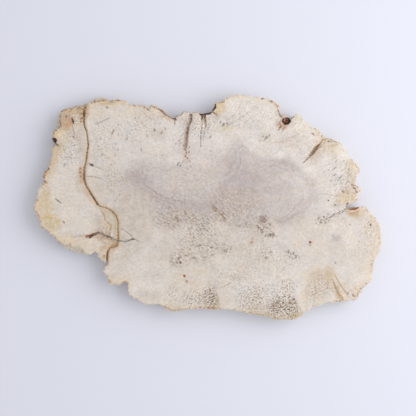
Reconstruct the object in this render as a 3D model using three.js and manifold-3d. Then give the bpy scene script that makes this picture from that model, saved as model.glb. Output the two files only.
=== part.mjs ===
import * as THREE from 'three';
import { mergeVertices } from 'three/addons/utils/BufferGeometryUtils.js';
import Module from 'manifold-3d';

// A slice sawn across a small fossil log. Its upper face is flat and polished, its lower face is flat
// and sawn, and the log's weathered rind is left on around its wall. It is one stone, so it is one
// solid. Millimetres, +Z up, standing on z = 0 with the middle of its box over the origin.

// Driving dimensions
const LENGTH = 200; // from the left tip to the right lobe
const THICKNESS = 11;
const EDGE_BREAK = 0.35; // the saw's sharp edges, rubbed down

// Wall. Its levels and bands are shares of the thickness.
const WALL_STEPS = 440; // around the slice
const CURVE_SAMPLES = 10 * WALL_STEPS; // to measure the outline's length by
const WALL_LEVELS = [0.82, 0.64, 0.46, 0.28, 0.12]; // between the two rubbed edges
const UNDERCUT = 2.2; // most that the foot of the wall lies inside the upper edge
const UNDERCUT_BAYS = 14; // stretches around the slice that are undercut more or less
const UNDERCUT_POWER = 1.6; // how much faster the undercut grows towards the foot
const UNDERCUT_SEED = 3;
const FLUTE_DEPTH = 2.6; // furrows of the bark that run along the grain, so up and down the wall
const FLUTE_START = [0.02, 0.2]; // band below the upper edge where the furrows set in
const BROAD_RIBS = { around: 90, up: 1.2, share: 0.55, seed: 1 };
const FINE_RIBS = { around: 210, up: 2.6, share: 0.45, seed: 2 };
const LEDGE_FLUTING = 0.2; // share of the furrows' depth that is left where the rind stands out
const LEDGE_CORE = 0.4; // share of a ledge's run over which it keeps its full width
const LEDGE_BAND = [0.66, 0.97]; // levels over which a ledge steps back to the upper edge
const NORMAL_REACH = 4; // steps to each side that a wall point's direction is taken over
const HASH = { column: 127.1, row: 311.7, seed: 74.7, gain: 43758.5453 }; // scatters whole numbers

// Cracks and pits, cut down from the upper face and up from the lower one
const OVERCUT = 0.5; // how far a cutter stands clear of the face
const CRACK_DEPTH_SHARE = 0.95; // a crack's depth for each millimetre of its width
const UNDERSIDE_SHARE = 0.8; // the same cracks are this much as wide where they leave the lower face
const PIT_SIDES = 8;
const MERGE_REACH = 1e-4; // corners closer than this are one

// The outline from above, clockwise from the left tip. Each stretch is a list of the corners and
// crowns that a smooth closed curve goes through.
const LEFT_SIDE = [
  [-100.1, 0.2], [-99.3, 2.6], [-98.4, 4.8], [-98.1, 7.6], [-96.9, 10.8], [-94.7, 14], [-94.3, 15.6],
  [-94.7, 17.6], [-94.1, 19.7], [-91.6, 22.8], [-90.8, 25.2], [-90, 27.8], [-89.2, 29.7], [-89.6, 32.4],
  [-89.4, 34.7], [-88.2, 35.1], [-86.8, 35.7],
];
const UPPER_LEFT_LOBE = [
  [-88, 37.1], [-89.4, 39.4], [-89, 42], [-87.9, 44.5], [-87.1, 45.9], [-86.8, 47.1], [-87.2, 50],
  [-86.7, 52.2], [-85.6, 54.2], [-84.1, 55.8], [-82.6, 56.8], [-80.3, 57.9], [-76.5, 58.8],
  [-72.6, 59.7], [-70.7, 60.3], [-68.3, 61.5], [-64.9, 63], [-61.3, 63.6], [-58.6, 63.2],
  [-57.1, 62.6], [-54.9, 62.4],
];
const TOP_SHOULDER = [
  [-53.1, 63.2], [-51.1, 62.9], [-47.8, 61.8], [-46.1, 60.8], [-45.2, 59.4], [-43.3, 59.2], [-37.3, 58.5],
  [-35.6, 58.1], [-33.8, 56.2], [-31.8, 58.8], [-30, 58], [-26.7, 56.7], [-25.2, 55.6], [-24, 54],
  [-22.3, 52.5], [-21, 51.7],
];
const TOP_BAY = [
  [-18.8, 51], [-18.2, 52.9], [-16.3, 52.8], [-15, 53.5], [-13.6, 55.7], [-11.7, 55], [-9.7, 53.7],
  [-8.6, 54.3], [-6.7, 55.3], [-4.7, 54], [-1.3, 54.3], [1.2, 54.7],
];
const TOP_LOBE = [
  [2.4, 55.8], [3.4, 56.4], [3.6, 58.2], [4.3, 59.7], [5.5, 60.4], [8, 61], [10.7, 63], [14, 64.3],
  [17.7, 64.8], [20, 64.5], [23, 64.6], [25.7, 63.8], [31, 63.2], [35, 62.2], [38.5, 60.5],
  [40.4, 59.6], [41.3, 58.2], [41.2, 56.6], [42.1, 53.4], [43.9, 51.3], [45, 51.7], [47.7, 50.3],
];
const UPPER_RIGHT_STEPS = [
  [49, 51.8], [50.7, 53.5], [51.9, 54], [53.5, 52.5], [55, 50.7], [58.3, 47], [60, 45.8], [62.3, 45.2],
  [65.6, 42.1], [66.6, 40.2], [70, 39.8], [72.3, 39], [73.8, 37.8], [76.3, 37.2], [78.4, 34.6],
  [80, 32.6], [81.7, 28.5], [84.4, 26.6], [86.7, 23.6], [87, 20], [85.2, 15.5], [85.1, 13],
  [87, 12.3], [88, 10.7], [86.9, 7.8], [87.1, 5.5], [85, 3.3], [81, 1.7], [79.4, 0.6],
];
const RIGHT_LOBE = [
  [82, -0.9], [86, 0.2], [89.3, 0.5], [92.5, -1.8], [97.2, -7.2], [99.6, -10.7], [100.1, -13],
  [100.3, -19], [100.1, -22], [98.6, -25.7], [96, -30], [95, -36], [94.4, -41.4], [93.4, -43.1],
  [89.6, -46.2],
];
const LOWER_RIGHT_LOBE = [
  [87.4, -49.6], [85.6, -53], [80.6, -53.8], [77.7, -54], [73.7, -54.9], [68.9, -54.9],
  [64.7, -56.2], [60.4, -57.3], [58.6, -59.2], [55.4, -61.1], [52.6, -63.5], [48.9, -64.6],
  [41.8, -64.7], [37.2, -64.2], [34.2, -62.9],
];
const BOTTOM_EDGE = [
  [29.6, -62], [24.2, -61], [17.7, -59.6], [14.5, -58.7], [7.5, -58.4], [4, -58.8], [0, -58.7],
  [-5, -58.2], [-12.6, -58.8], [-15, -59.4], [-19.6, -60], [-21.6, -59.4], [-24.5, -57.6],
  [-28, -56], [-32, -55.7], [-34, -55.9], [-37, -54.6], [-41.5, -52.4], [-44.5, -50.6],
  [-45.4, -47.5], [-45.8, -43.4],
];
const LOWER_LEFT_STEPS = [
  [-49, -43.8], [-54.5, -44.5], [-56.6, -43.4], [-57.3, -40.6], [-59.4, -37.4], [-59.3, -35],
  [-57.5, -33.5], [-57.7, -32.2], [-59.8, -31.2], [-62.2, -28.2], [-64.6, -25.2], [-66.6, -26.7],
  [-69.8, -27.4], [-73, -26.3], [-78.8, -24.6], [-83, -22.9], [-85.4, -20.3], [-87.6, -17.4],
  [-90.6, -15.3], [-91.8, -13.6], [-95, -12.1], [-96.1, -10.2], [-95.8, -8.6], [-97, -7],
  [-98.3, -4.2], [-99.8, -1.6],
];
const OUTLINE = [
  ...LEFT_SIDE, ...UPPER_LEFT_LOBE, ...TOP_SHOULDER, ...TOP_BAY, ...TOP_LOBE, ...UPPER_RIGHT_STEPS,
  ...RIGHT_LOBE, ...LOWER_RIGHT_LOBE, ...BOTTOM_EDGE, ...LOWER_LEFT_STEPS,
];

// Where the rind stands out past the upper edge: its middle, how far along the rim it runs from
// there, and how far the upper edge is set back
const RIND_LEDGES = [
  { middle: [-66, 62.3], run: 22, setback: 2.4 },
  { middle: [-86.5, 50], run: 6.5, setback: 2.6 },
  { middle: [-77.6, -24.4], run: 9, setback: 3.2 },
];

// Cracks as x, y and width at the upper face. The vein crosses the whole slice.
const VEIN = [
  [-70.1, 60, 2.2], [-70.9, 54.7, 1.8], [-71.1, 49.6, 1.3], [-70.5, 46.4, 1.1], [-69.3, 43.3, 1.2],
  [-68.9, 39.8, 1.1], [-68.4, 35.6, 1.2], [-69.1, 31, 1.1], [-69.7, 26.3, 1.1], [-70.6, 22.4, 1.2],
  [-70.8, 16, 1.3], [-69.6, 12.2, 1.1], [-66.6, 7.3, 1.2], [-63, 1.6, 1.3], [-61.3, 0.5, 0.8],
  [-58.4, 0, 0.8], [-54.8, -2.2, 1], [-52.3, -5.2, 1.1], [-51.3, -8.8, 1], [-51.4, -13, 1],
  [-51.2, -19, 1.2], [-52.2, -22.1, 1.4], [-56.2, -23.4, 1.1], [-57.5, -26.8, 1.7], [-57.8, -33, 2],
];
const CRACKS = {
  vein: VEIN,
  topLeft: [
    [-9.6, 55.4, 1.8], [-9.2, 51, 1.5], [-9.7, 49.4, 1.5], [-10.8, 47.4, 1.3], [-11.8, 43, 1.3],
    [-12.2, 38, 1.1], [-12.5, 34.2, 0.6],
  ],
  topRight: [[-2.2, 55.4, 1.2], [-2, 51, 0.9], [-1.2, 48.8, 0.8], [-1, 46.4, 0.5]],
  rightTop: [
    [66.2, 39.2, 1.2], [64, 35.8, 1.3], [62, 33.7, 1.9], [60, 31, 1.9], [58.4, 29, 1], [56, 26.7, 0.7],
    [54.5, 25.5, 0.4],
  ],
  rightNotch: [
    [81.5, 0.2, 1.3], [79, -0.6, 1.1], [77, -2, 0.9], [74, -3.5, 0.8], [71.5, -5, 0.8], [68, -6.5, 0.7],
    [64, -7, 0.4],
  ],
  lowerLeft: [
    [-69.6, -16.2, 0.6], [-67.5, -16.7, 2], [-65, -15.4, 1.3], [-63, -14.6, 1.2], [-61.2, -15.1, 0.9],
    [-57.4, -17.6, 1], [-54.4, -18.8, 0.8],
  ],
  lowerLeftRight: [[-50, -19.1, 0.7], [-47, -19.7, 0.7], [-44.4, -18.6, 0.7], [-42.4, -17.9, 0.4]],
  leftSlit: [[-87, 4.9, 0.5], [-85.6, 3.7, 0.9], [-84.2, 2.6, 0.4]],
  besideVein: [[-68.4, 25.5, 0.4], [-66.6, 24.3, 0.9], [-65, 23.2, 0.5]],
  upperLeftSlit: [[-84.5, 49.6, 0.5], [-84.2, 48, 0.8], [-83.8, 46.6, 0.4]],
  rightSlit: [[74.5, 14.5, 0.4], [76.2, 15.9, 0.8], [78, 17, 0.4]],
};

// Pits: x, y, half length, half width, turn in degrees and depth
const PITS = [
  [-87.2, 38.5, 1.7, 1.1, -40, 1.6], // the dark hole by the left notch
  [-86.2, 35.3, 1.3, 0.9, 30, 1.4],
  [-91.6, 21.9, 1.3, 0.9, 45, 1],
  [-93.1, 14.6, 1.4, 0.8, -45, 0.9],
  [-77, 49.5, 1.3, 0.6, 75, 0.8],
  [-82.2, -8.6, 1, 0.5, 60, 0.6],
  [45.4, 49.3, 2.9, 2.1, 15, 3.8], // the red-brown pocket in the upper rim
  [42.6, 47, 1.2, 0.6, 40, 0.7],
  [48.9, -52.6, 1.2, 0.8, 0, 0.8],
  [47, -54.6, 1, 0.6, 50, 0.7],
  [37, -57, 0.9, 0.7, 0, 0.7],
  [33.6, -29, 0.9, 0.7, 0, 0.6],
  [-15.8, -31.6, 1.2, 0.6, -55, 0.7],
  [-16.6, -29, 0.8, 0.6, 0, 0.5],
  [93.7, -10, 0.8, 0.7, 0, 0.8],
  [80, 2, 0.8, 0.6, 0, 0.6],
  [73, 1, 0.7, 0.6, 0, 0.5],
  [69.3, 4, 0.8, 0.6, 0, 0.6],
  [-33.8, 55.6, 0.9, 0.8, 0, 1.2],
  [-18.6, 51, 0.9, 1.5, 0, 1.2],
];

const STONE = new THREE.MeshStandardMaterial({ color: 0xd9cdbd, roughness: 0.45, metalness: 0 });

const wasm = await Module();
wasm.setup();

// The curve through the outline's points, scaled to the driving length and centred.
function centredOutline() {
  const corners = OUTLINE.map(([x, y]) => new THREE.Vector3(x, y, 0)).reverse();
  const curve = new THREE.CatmullRomCurve3(corners, true, 'centripetal');
  curve.arcLengthDivisions = CURVE_SAMPLES;
  const rim = curve.getSpacedPoints(WALL_STEPS).slice(0, -1);
  const box = new THREE.Box3().setFromPoints(rim);
  const middle = box.getCenter(new THREE.Vector3());
  const scale = LENGTH / (box.max.x - box.min.x);
  const place = (x, y) => new THREE.Vector2((x - middle.x) * scale, (y - middle.y) * scale);
  return { rim: rim.map((p) => place(p.x, p.y)), place };
}

// A repeatable number from 0 to 1 for each corner of a grid.
function cornerNoise(column, row, seed) {
  const wave = Math.sin(column * HASH.column + row * HASH.row + seed * HASH.seed) * HASH.gain;
  return wave - Math.floor(wave);
}

// Smooth noise from 0 to 1 over the wall. It closes on itself after the given number of columns.
function wallNoise(along, up, columns, seed) {
  const column = Math.floor(along);
  const row = Math.floor(up);
  const u = THREE.MathUtils.smoothstep(along - column, 0, 1);
  const v = THREE.MathUtils.smoothstep(up - row, 0, 1);
  const corner = (c, r) => cornerNoise((column + c) % columns, row + r, seed);
  const low = THREE.MathUtils.lerp(corner(0, 0), corner(1, 0), u);
  const high = THREE.MathUtils.lerp(corner(0, 1), corner(1, 1), u);
  return THREE.MathUtils.lerp(low, high, v);
}

// The depth of the bark's furrows, from 0 to 1: broad ribs with finer ones on them, which change
// little from the foot of the wall to its head.
function furrows(turn, level) {
  let depth = 0;
  for (const { around, up, share, seed } of [BROAD_RIBS, FINE_RIBS]) {
    depth += share * wallNoise(turn * around, level * up, around, seed) ** 2;
  }
  return depth;
}

// How far the wall lies inside the outline at one place and level (0 at its foot, 1 at its head).
function tuckAt(point, turn, level, ledges) {
  const edge = level === 0 || level === 1 ? EDGE_BREAK : 0;
  const bay = wallNoise(turn * UNDERCUT_BAYS, 0, UNDERCUT_BAYS, UNDERCUT_SEED);
  const lean = UNDERCUT * bay * (1 - level) ** UNDERCUT_POWER;
  const belowEdge = THREE.MathUtils.smoothstep(1 - level, ...FLUTE_START);
  let setback = 0;
  let fluted = 1;
  for (const ledge of ledges) {
    const distance = point.distanceTo(ledge.middle);
    const away = THREE.MathUtils.smoothstep(distance, ledge.run * LEDGE_CORE, ledge.run);
    setback = Math.max(setback, ledge.setback * (1 - away));
    fluted = Math.min(fluted, LEDGE_FLUTING + (1 - LEDGE_FLUTING) * away);
  }
  const shelf = setback * THREE.MathUtils.smoothstep(level, ...LEDGE_BAND);
  return edge + lean + shelf + FLUTE_DEPTH * fluted * belowEdge * furrows(turn, level);
}

// The unit direction into the stone, taken over a few steps so that neighbours never cross.
function inwardDirection(rim, index) {
  const before = rim[(index - NORMAL_REACH + rim.length) % rim.length];
  const after = rim[(index + NORMAL_REACH) % rim.length];
  const along = after.clone().sub(before).normalize();
  return new THREE.Vector2(-along.y, along.x);
}

// The blank: two flat faces and the wall between them, as one closed mesh.
function sliceBlank(rim, ledges) {
  const edgeLevel = EDGE_BREAK / THICKNESS;
  const levels = [1, 1 - edgeLevel, ...WALL_LEVELS, edgeLevel, 0];
  const positions = [];
  const rows = levels.map((level) => rim.map((point, i) => {
    const inward = inwardDirection(rim, i);
    const tuck = tuckAt(point, i / rim.length, level, ledges);
    const moved = point.clone().addScaledVector(inward, tuck);
    positions.push(moved.x, moved.y, level * THICKNESS);
    return moved;
  }));
  const count = rim.length;
  const index = [];
  for (let row = 0; row < levels.length - 1; row++) {
    for (let i = 0; i < count; i++) {
      const next = (i + 1) % count;
      const above = row * count;
      const below = above + count;
      index.push(above + i, below + i, below + next);
      index.push(above + i, below + next, above + next);
    }
  }
  const foot = (levels.length - 1) * count;
  for (const [a, b, c] of THREE.ShapeUtils.triangulateShape(rows[0], [])) {
    index.push(a, b, c);
  }
  for (const [a, b, c] of THREE.ShapeUtils.triangulateShape(rows.at(-1), [])) {
    index.push(foot + a, foot + c, foot + b);
  }
  const geometry = new THREE.BufferGeometry();
  geometry.setAttribute('position', new THREE.Float32BufferAttribute(positions, 3));
  geometry.setIndex(index);
  return geometry;
}

// A closed V-shaped blade along a crack, point down at the upper face or point up at the lower one.
function crackBlade(route, place, upper) {
  const face = upper ? THICKNESS : 0;
  const into = upper ? -1 : 1;
  const share = upper ? 1 : UNDERSIDE_SHARE;
  const line = route.map(([x, y]) => place(x, y));
  const positions = [];
  route.forEach(([, , width], i) => {
    const before = line[Math.max(i - 1, 0)];
    const after = line[Math.min(i + 1, line.length - 1)];
    const along = after.clone().sub(before).normalize();
    const depth = width * share * CRACK_DEPTH_SHARE;
    const reach = 0.5 * width * share * (depth + OVERCUT) / depth;
    const { x, y } = line[i];
    positions.push(x - along.y * reach, y + along.x * reach, face - into * OVERCUT);
    positions.push(x + along.y * reach, y - along.x * reach, face - into * OVERCUT);
    positions.push(x, y, face + into * depth);
  });
  const index = [];
  const facet = (a, b, c) => index.push(...(upper ? [a, b, c] : [a, c, b]));
  for (let section = 0; section < route.length - 1; section++) {
    for (let side = 0; side < 3; side++) {
      const a = 3 * section + side;
      const b = 3 * section + (side + 1) % 3;
      facet(a, b, b + 3);
      facet(a, b + 3, a + 3);
    }
  }
  const last = 3 * (route.length - 1);
  facet(0, 2, 1);
  facet(last, last + 1, last + 2);
  const geometry = new THREE.BufferGeometry();
  geometry.setAttribute('position', new THREE.Float32BufferAttribute(positions, 3));
  geometry.setIndex(index);
  return geometry;
}

// A cone, point down, that leaves an oval pit in the upper face.
function pitCone([x, y, halfLength, halfWidth, turn, depth], place) {
  const height = depth + OVERCUT;
  const flare = height / depth;
  const cone = new THREE.ConeGeometry(1, 1, PIT_SIDES);
  cone.rotateX(-Math.PI / 2);
  cone.scale(halfLength * flare, halfWidth * flare, height);
  cone.rotateZ(THREE.MathUtils.degToRad(turn));
  const at = place(x, y);
  cone.translate(at.x, at.y, THICKNESS + OVERCUT - height / 2);
  return cone;
}

// A closed mesh as a solid that can be cut.
function solidOf(geometry) {
  const bare = new THREE.BufferGeometry();
  bare.setAttribute('position', geometry.getAttribute('position'));
  bare.setIndex(geometry.getIndex());
  const merged = mergeVertices(bare, MERGE_REACH);
  const vertProperties = new Float32Array(merged.getAttribute('position').array);
  const triVerts = new Uint32Array(merged.getIndex().array);
  return new wasm.Manifold(new wasm.Mesh({ numProp: 3, vertProperties, triVerts }));
}

// A solid as geometry that a mesh can show.
function geometryOf(solid) {
  const { vertProperties, triVerts } = solid.getMesh();
  const geometry = new THREE.BufferGeometry();
  geometry.setAttribute('position', new THREE.Float32BufferAttribute(vertProperties, 3));
  geometry.setIndex([...triVerts]);
  const facets = geometry.toNonIndexed();
  facets.computeVertexNormals();
  return facets;
}

function woodSlice() {
  const { rim, place } = centredOutline();
  const ledges = RIND_LEDGES.map((ledge) => ({ ...ledge, middle: place(...ledge.middle) }));
  let stone = solidOf(sliceBlank(rim, ledges));
  for (const route of Object.values(CRACKS)) {
    stone = stone.subtract(solidOf(crackBlade(route, place, true)));
  }
  for (const route of [CRACKS.vein, CRACKS.topLeft, CRACKS.rightTop, CRACKS.lowerLeft]) {
    stone = stone.subtract(solidOf(crackBlade(route, place, false)));
  }
  for (const pit of PITS) {
    stone = stone.subtract(solidOf(pitCone(pit, place)));
  }
  const mesh = new THREE.Mesh(geometryOf(stone), STONE);
  mesh.name = 'wood_slice';
  return mesh;
}

const group = new THREE.Group();
group.add(woodSlice());

export default group;
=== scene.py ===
"""The petrified wood slice, dressed: its rough rind and open cracks as a fine mesh, and its polished,
sawn and weathered surfaces as one procedural stone, on a plain pale table under soft studio light.

Lengths are in metres unless a name or a comment says millimetres.
"""

from __future__ import annotations

import logging
import math
from dataclasses import dataclass, field
from enum import Enum

import bpy
import numpy as np
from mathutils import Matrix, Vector
from mathutils.kdtree import KDTree


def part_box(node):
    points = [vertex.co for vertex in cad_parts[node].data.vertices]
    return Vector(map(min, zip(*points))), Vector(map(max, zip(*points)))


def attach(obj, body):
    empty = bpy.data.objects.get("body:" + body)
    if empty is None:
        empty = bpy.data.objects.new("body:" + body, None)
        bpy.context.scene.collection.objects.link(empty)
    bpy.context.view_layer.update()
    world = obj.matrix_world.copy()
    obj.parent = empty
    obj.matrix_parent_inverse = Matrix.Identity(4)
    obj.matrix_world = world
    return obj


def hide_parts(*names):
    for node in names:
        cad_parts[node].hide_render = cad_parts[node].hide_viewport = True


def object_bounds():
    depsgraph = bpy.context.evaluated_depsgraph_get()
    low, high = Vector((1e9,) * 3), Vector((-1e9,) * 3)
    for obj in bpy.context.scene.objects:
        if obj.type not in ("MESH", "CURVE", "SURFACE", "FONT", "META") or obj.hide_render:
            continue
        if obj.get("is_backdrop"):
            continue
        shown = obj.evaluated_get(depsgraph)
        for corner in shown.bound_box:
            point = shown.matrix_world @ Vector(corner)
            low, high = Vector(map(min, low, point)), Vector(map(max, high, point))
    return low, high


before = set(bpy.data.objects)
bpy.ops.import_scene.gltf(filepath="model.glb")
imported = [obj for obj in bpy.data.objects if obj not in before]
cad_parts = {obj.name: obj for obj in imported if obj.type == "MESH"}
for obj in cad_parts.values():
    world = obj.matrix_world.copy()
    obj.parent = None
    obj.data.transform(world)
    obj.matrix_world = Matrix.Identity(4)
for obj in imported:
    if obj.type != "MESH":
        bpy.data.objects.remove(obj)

Socket = bpy.types.NodeSocket
LOG = logging.getLogger("wood_slice")
MM = 0.001
# no distance from a mark is measured further than this
FAR_MM = 8.0
# an oval has faded out where the square of the share of its radius comes to this
FADED_OUT = 1.3
# a way off in millimetres, where the noise is unlike that here
ASIDE = (311, 187, 0)


def linear(hex_colour: str) -> tuple[float, float, float, float]:
    """Turns an sRGB hex colour into linear light.

    Args:
        hex_colour: Six hex digits after a hash sign.

    Returns:
        Red, green, blue and an alpha of 1.
    """
    channels = [int(hex_colour[i:i + 2], 16) / 255 for i in (1, 3, 5)]
    return (*(c / 12.92 if c <= 0.04045 else ((c + 0.055) / 1.055) ** 2.4 for c in channels), 1.0)


def add_node(tree: bpy.types.NodeTree, kind: str, inputs: dict | None = None, out: int | str = 0,
             **settings) -> Socket | None:
    """Adds one node with its settings and links.

    Args:
        tree: The node tree that it goes in.
        kind: The node's type name, without the word ShaderNode.
        inputs: Each input's name or number, and the value or the output that it gets.
        out: The name or number of the output that is handed back.
        **settings: The node's own properties.

    Returns:
        That output, or nothing where the node has none.
    """
    node = tree.nodes.new("ShaderNode" + kind)
    for name, value in settings.items():
        setattr(node, name, value)
    for key, value in (inputs or {}).items():
        if isinstance(value, Socket):
            tree.links.new(value, node.inputs[key])
        else:
            node.inputs[key].default_value = value
    return node.outputs[out] if node.outputs else None


class Edge(Enum):
    """How an oval mark fades: where full strength ends, as a share of its radius."""

    SOFT = 0.35
    MISTY = 0.0


class Ink(Enum):
    """The minerals that fill the stone's cracks and specks, and the near-black that paints the shade in the
    rim's deepest pockets.
    """

    UMBER = "#5C3A22"
    BROWN = "#7D583A"
    TAN = "#AE8A62"
    GREY = "#6E665F"
    # black is a dark mineral in some specks and cracks, and also the painted shade in the rim's deep pockets
    BLACK = "#3A1808"
    RUST = "#96491A"
    RUSSET = "#6A371C"


SOFT, MISTY = Edge
UMBER, BROWN, TAN, GREY, BLACK, RUST, RUSSET = Ink


@dataclass(frozen=True)
class Oval:
    """An oval mark on the polished face, in millimetres and degrees."""

    x: float
    y: float
    long: float
    short: float
    strength: float
    turn: float = 0.0
    edge: Edge = MISTY


def ovals(*rows: tuple[float, ...], edge: Edge = MISTY) -> tuple[Oval, ...]:
    """Ovals whose edges fade alike, each from a row of its numbers in Oval's order."""
    return tuple(Oval(*row, edge=edge) for row in rows)


@dataclass(frozen=True)
class Patch:
    """A lobed mark: its middle, and how far its edge lies from there at each angle."""

    x: float
    y: float
    rim: tuple[tuple[float, float], ...]
    strength: float
    fade: float
    lower_fade: float


@dataclass(frozen=True)
class Line:
    """A narrow mark along a route of x, y and half width in millimetres."""

    ink: Ink
    strength: float
    route: tuple[tuple[float, float, float], ...]


@dataclass(frozen=True)
class Specks:
    """Small oval marks of one mineral: x, y, half length and half width in millimetres, turn in degrees."""

    ink: Ink
    strength: float
    turn: float
    spots: tuple[tuple[float, float, float, float], ...]


@dataclass(frozen=True)
class Shelf:
    """A hollow in the rim whose wall comes forward below the face, by that much in millimetres."""

    x: float
    y: float
    reach: float
    out_x: float
    out_y: float


@dataclass(frozen=True)
class Layer:
    """One colour of stain, where it lies, and the pitch of its clouds in millimetres.

    The clouds leave bare what their noise has below the first level, and cover fully above the other.
    """

    colour: str
    ovals: tuple[Oval, ...]
    pitch: float = 4.5
    levels: tuple[float, float] = (0.12, 0.62)


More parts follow.
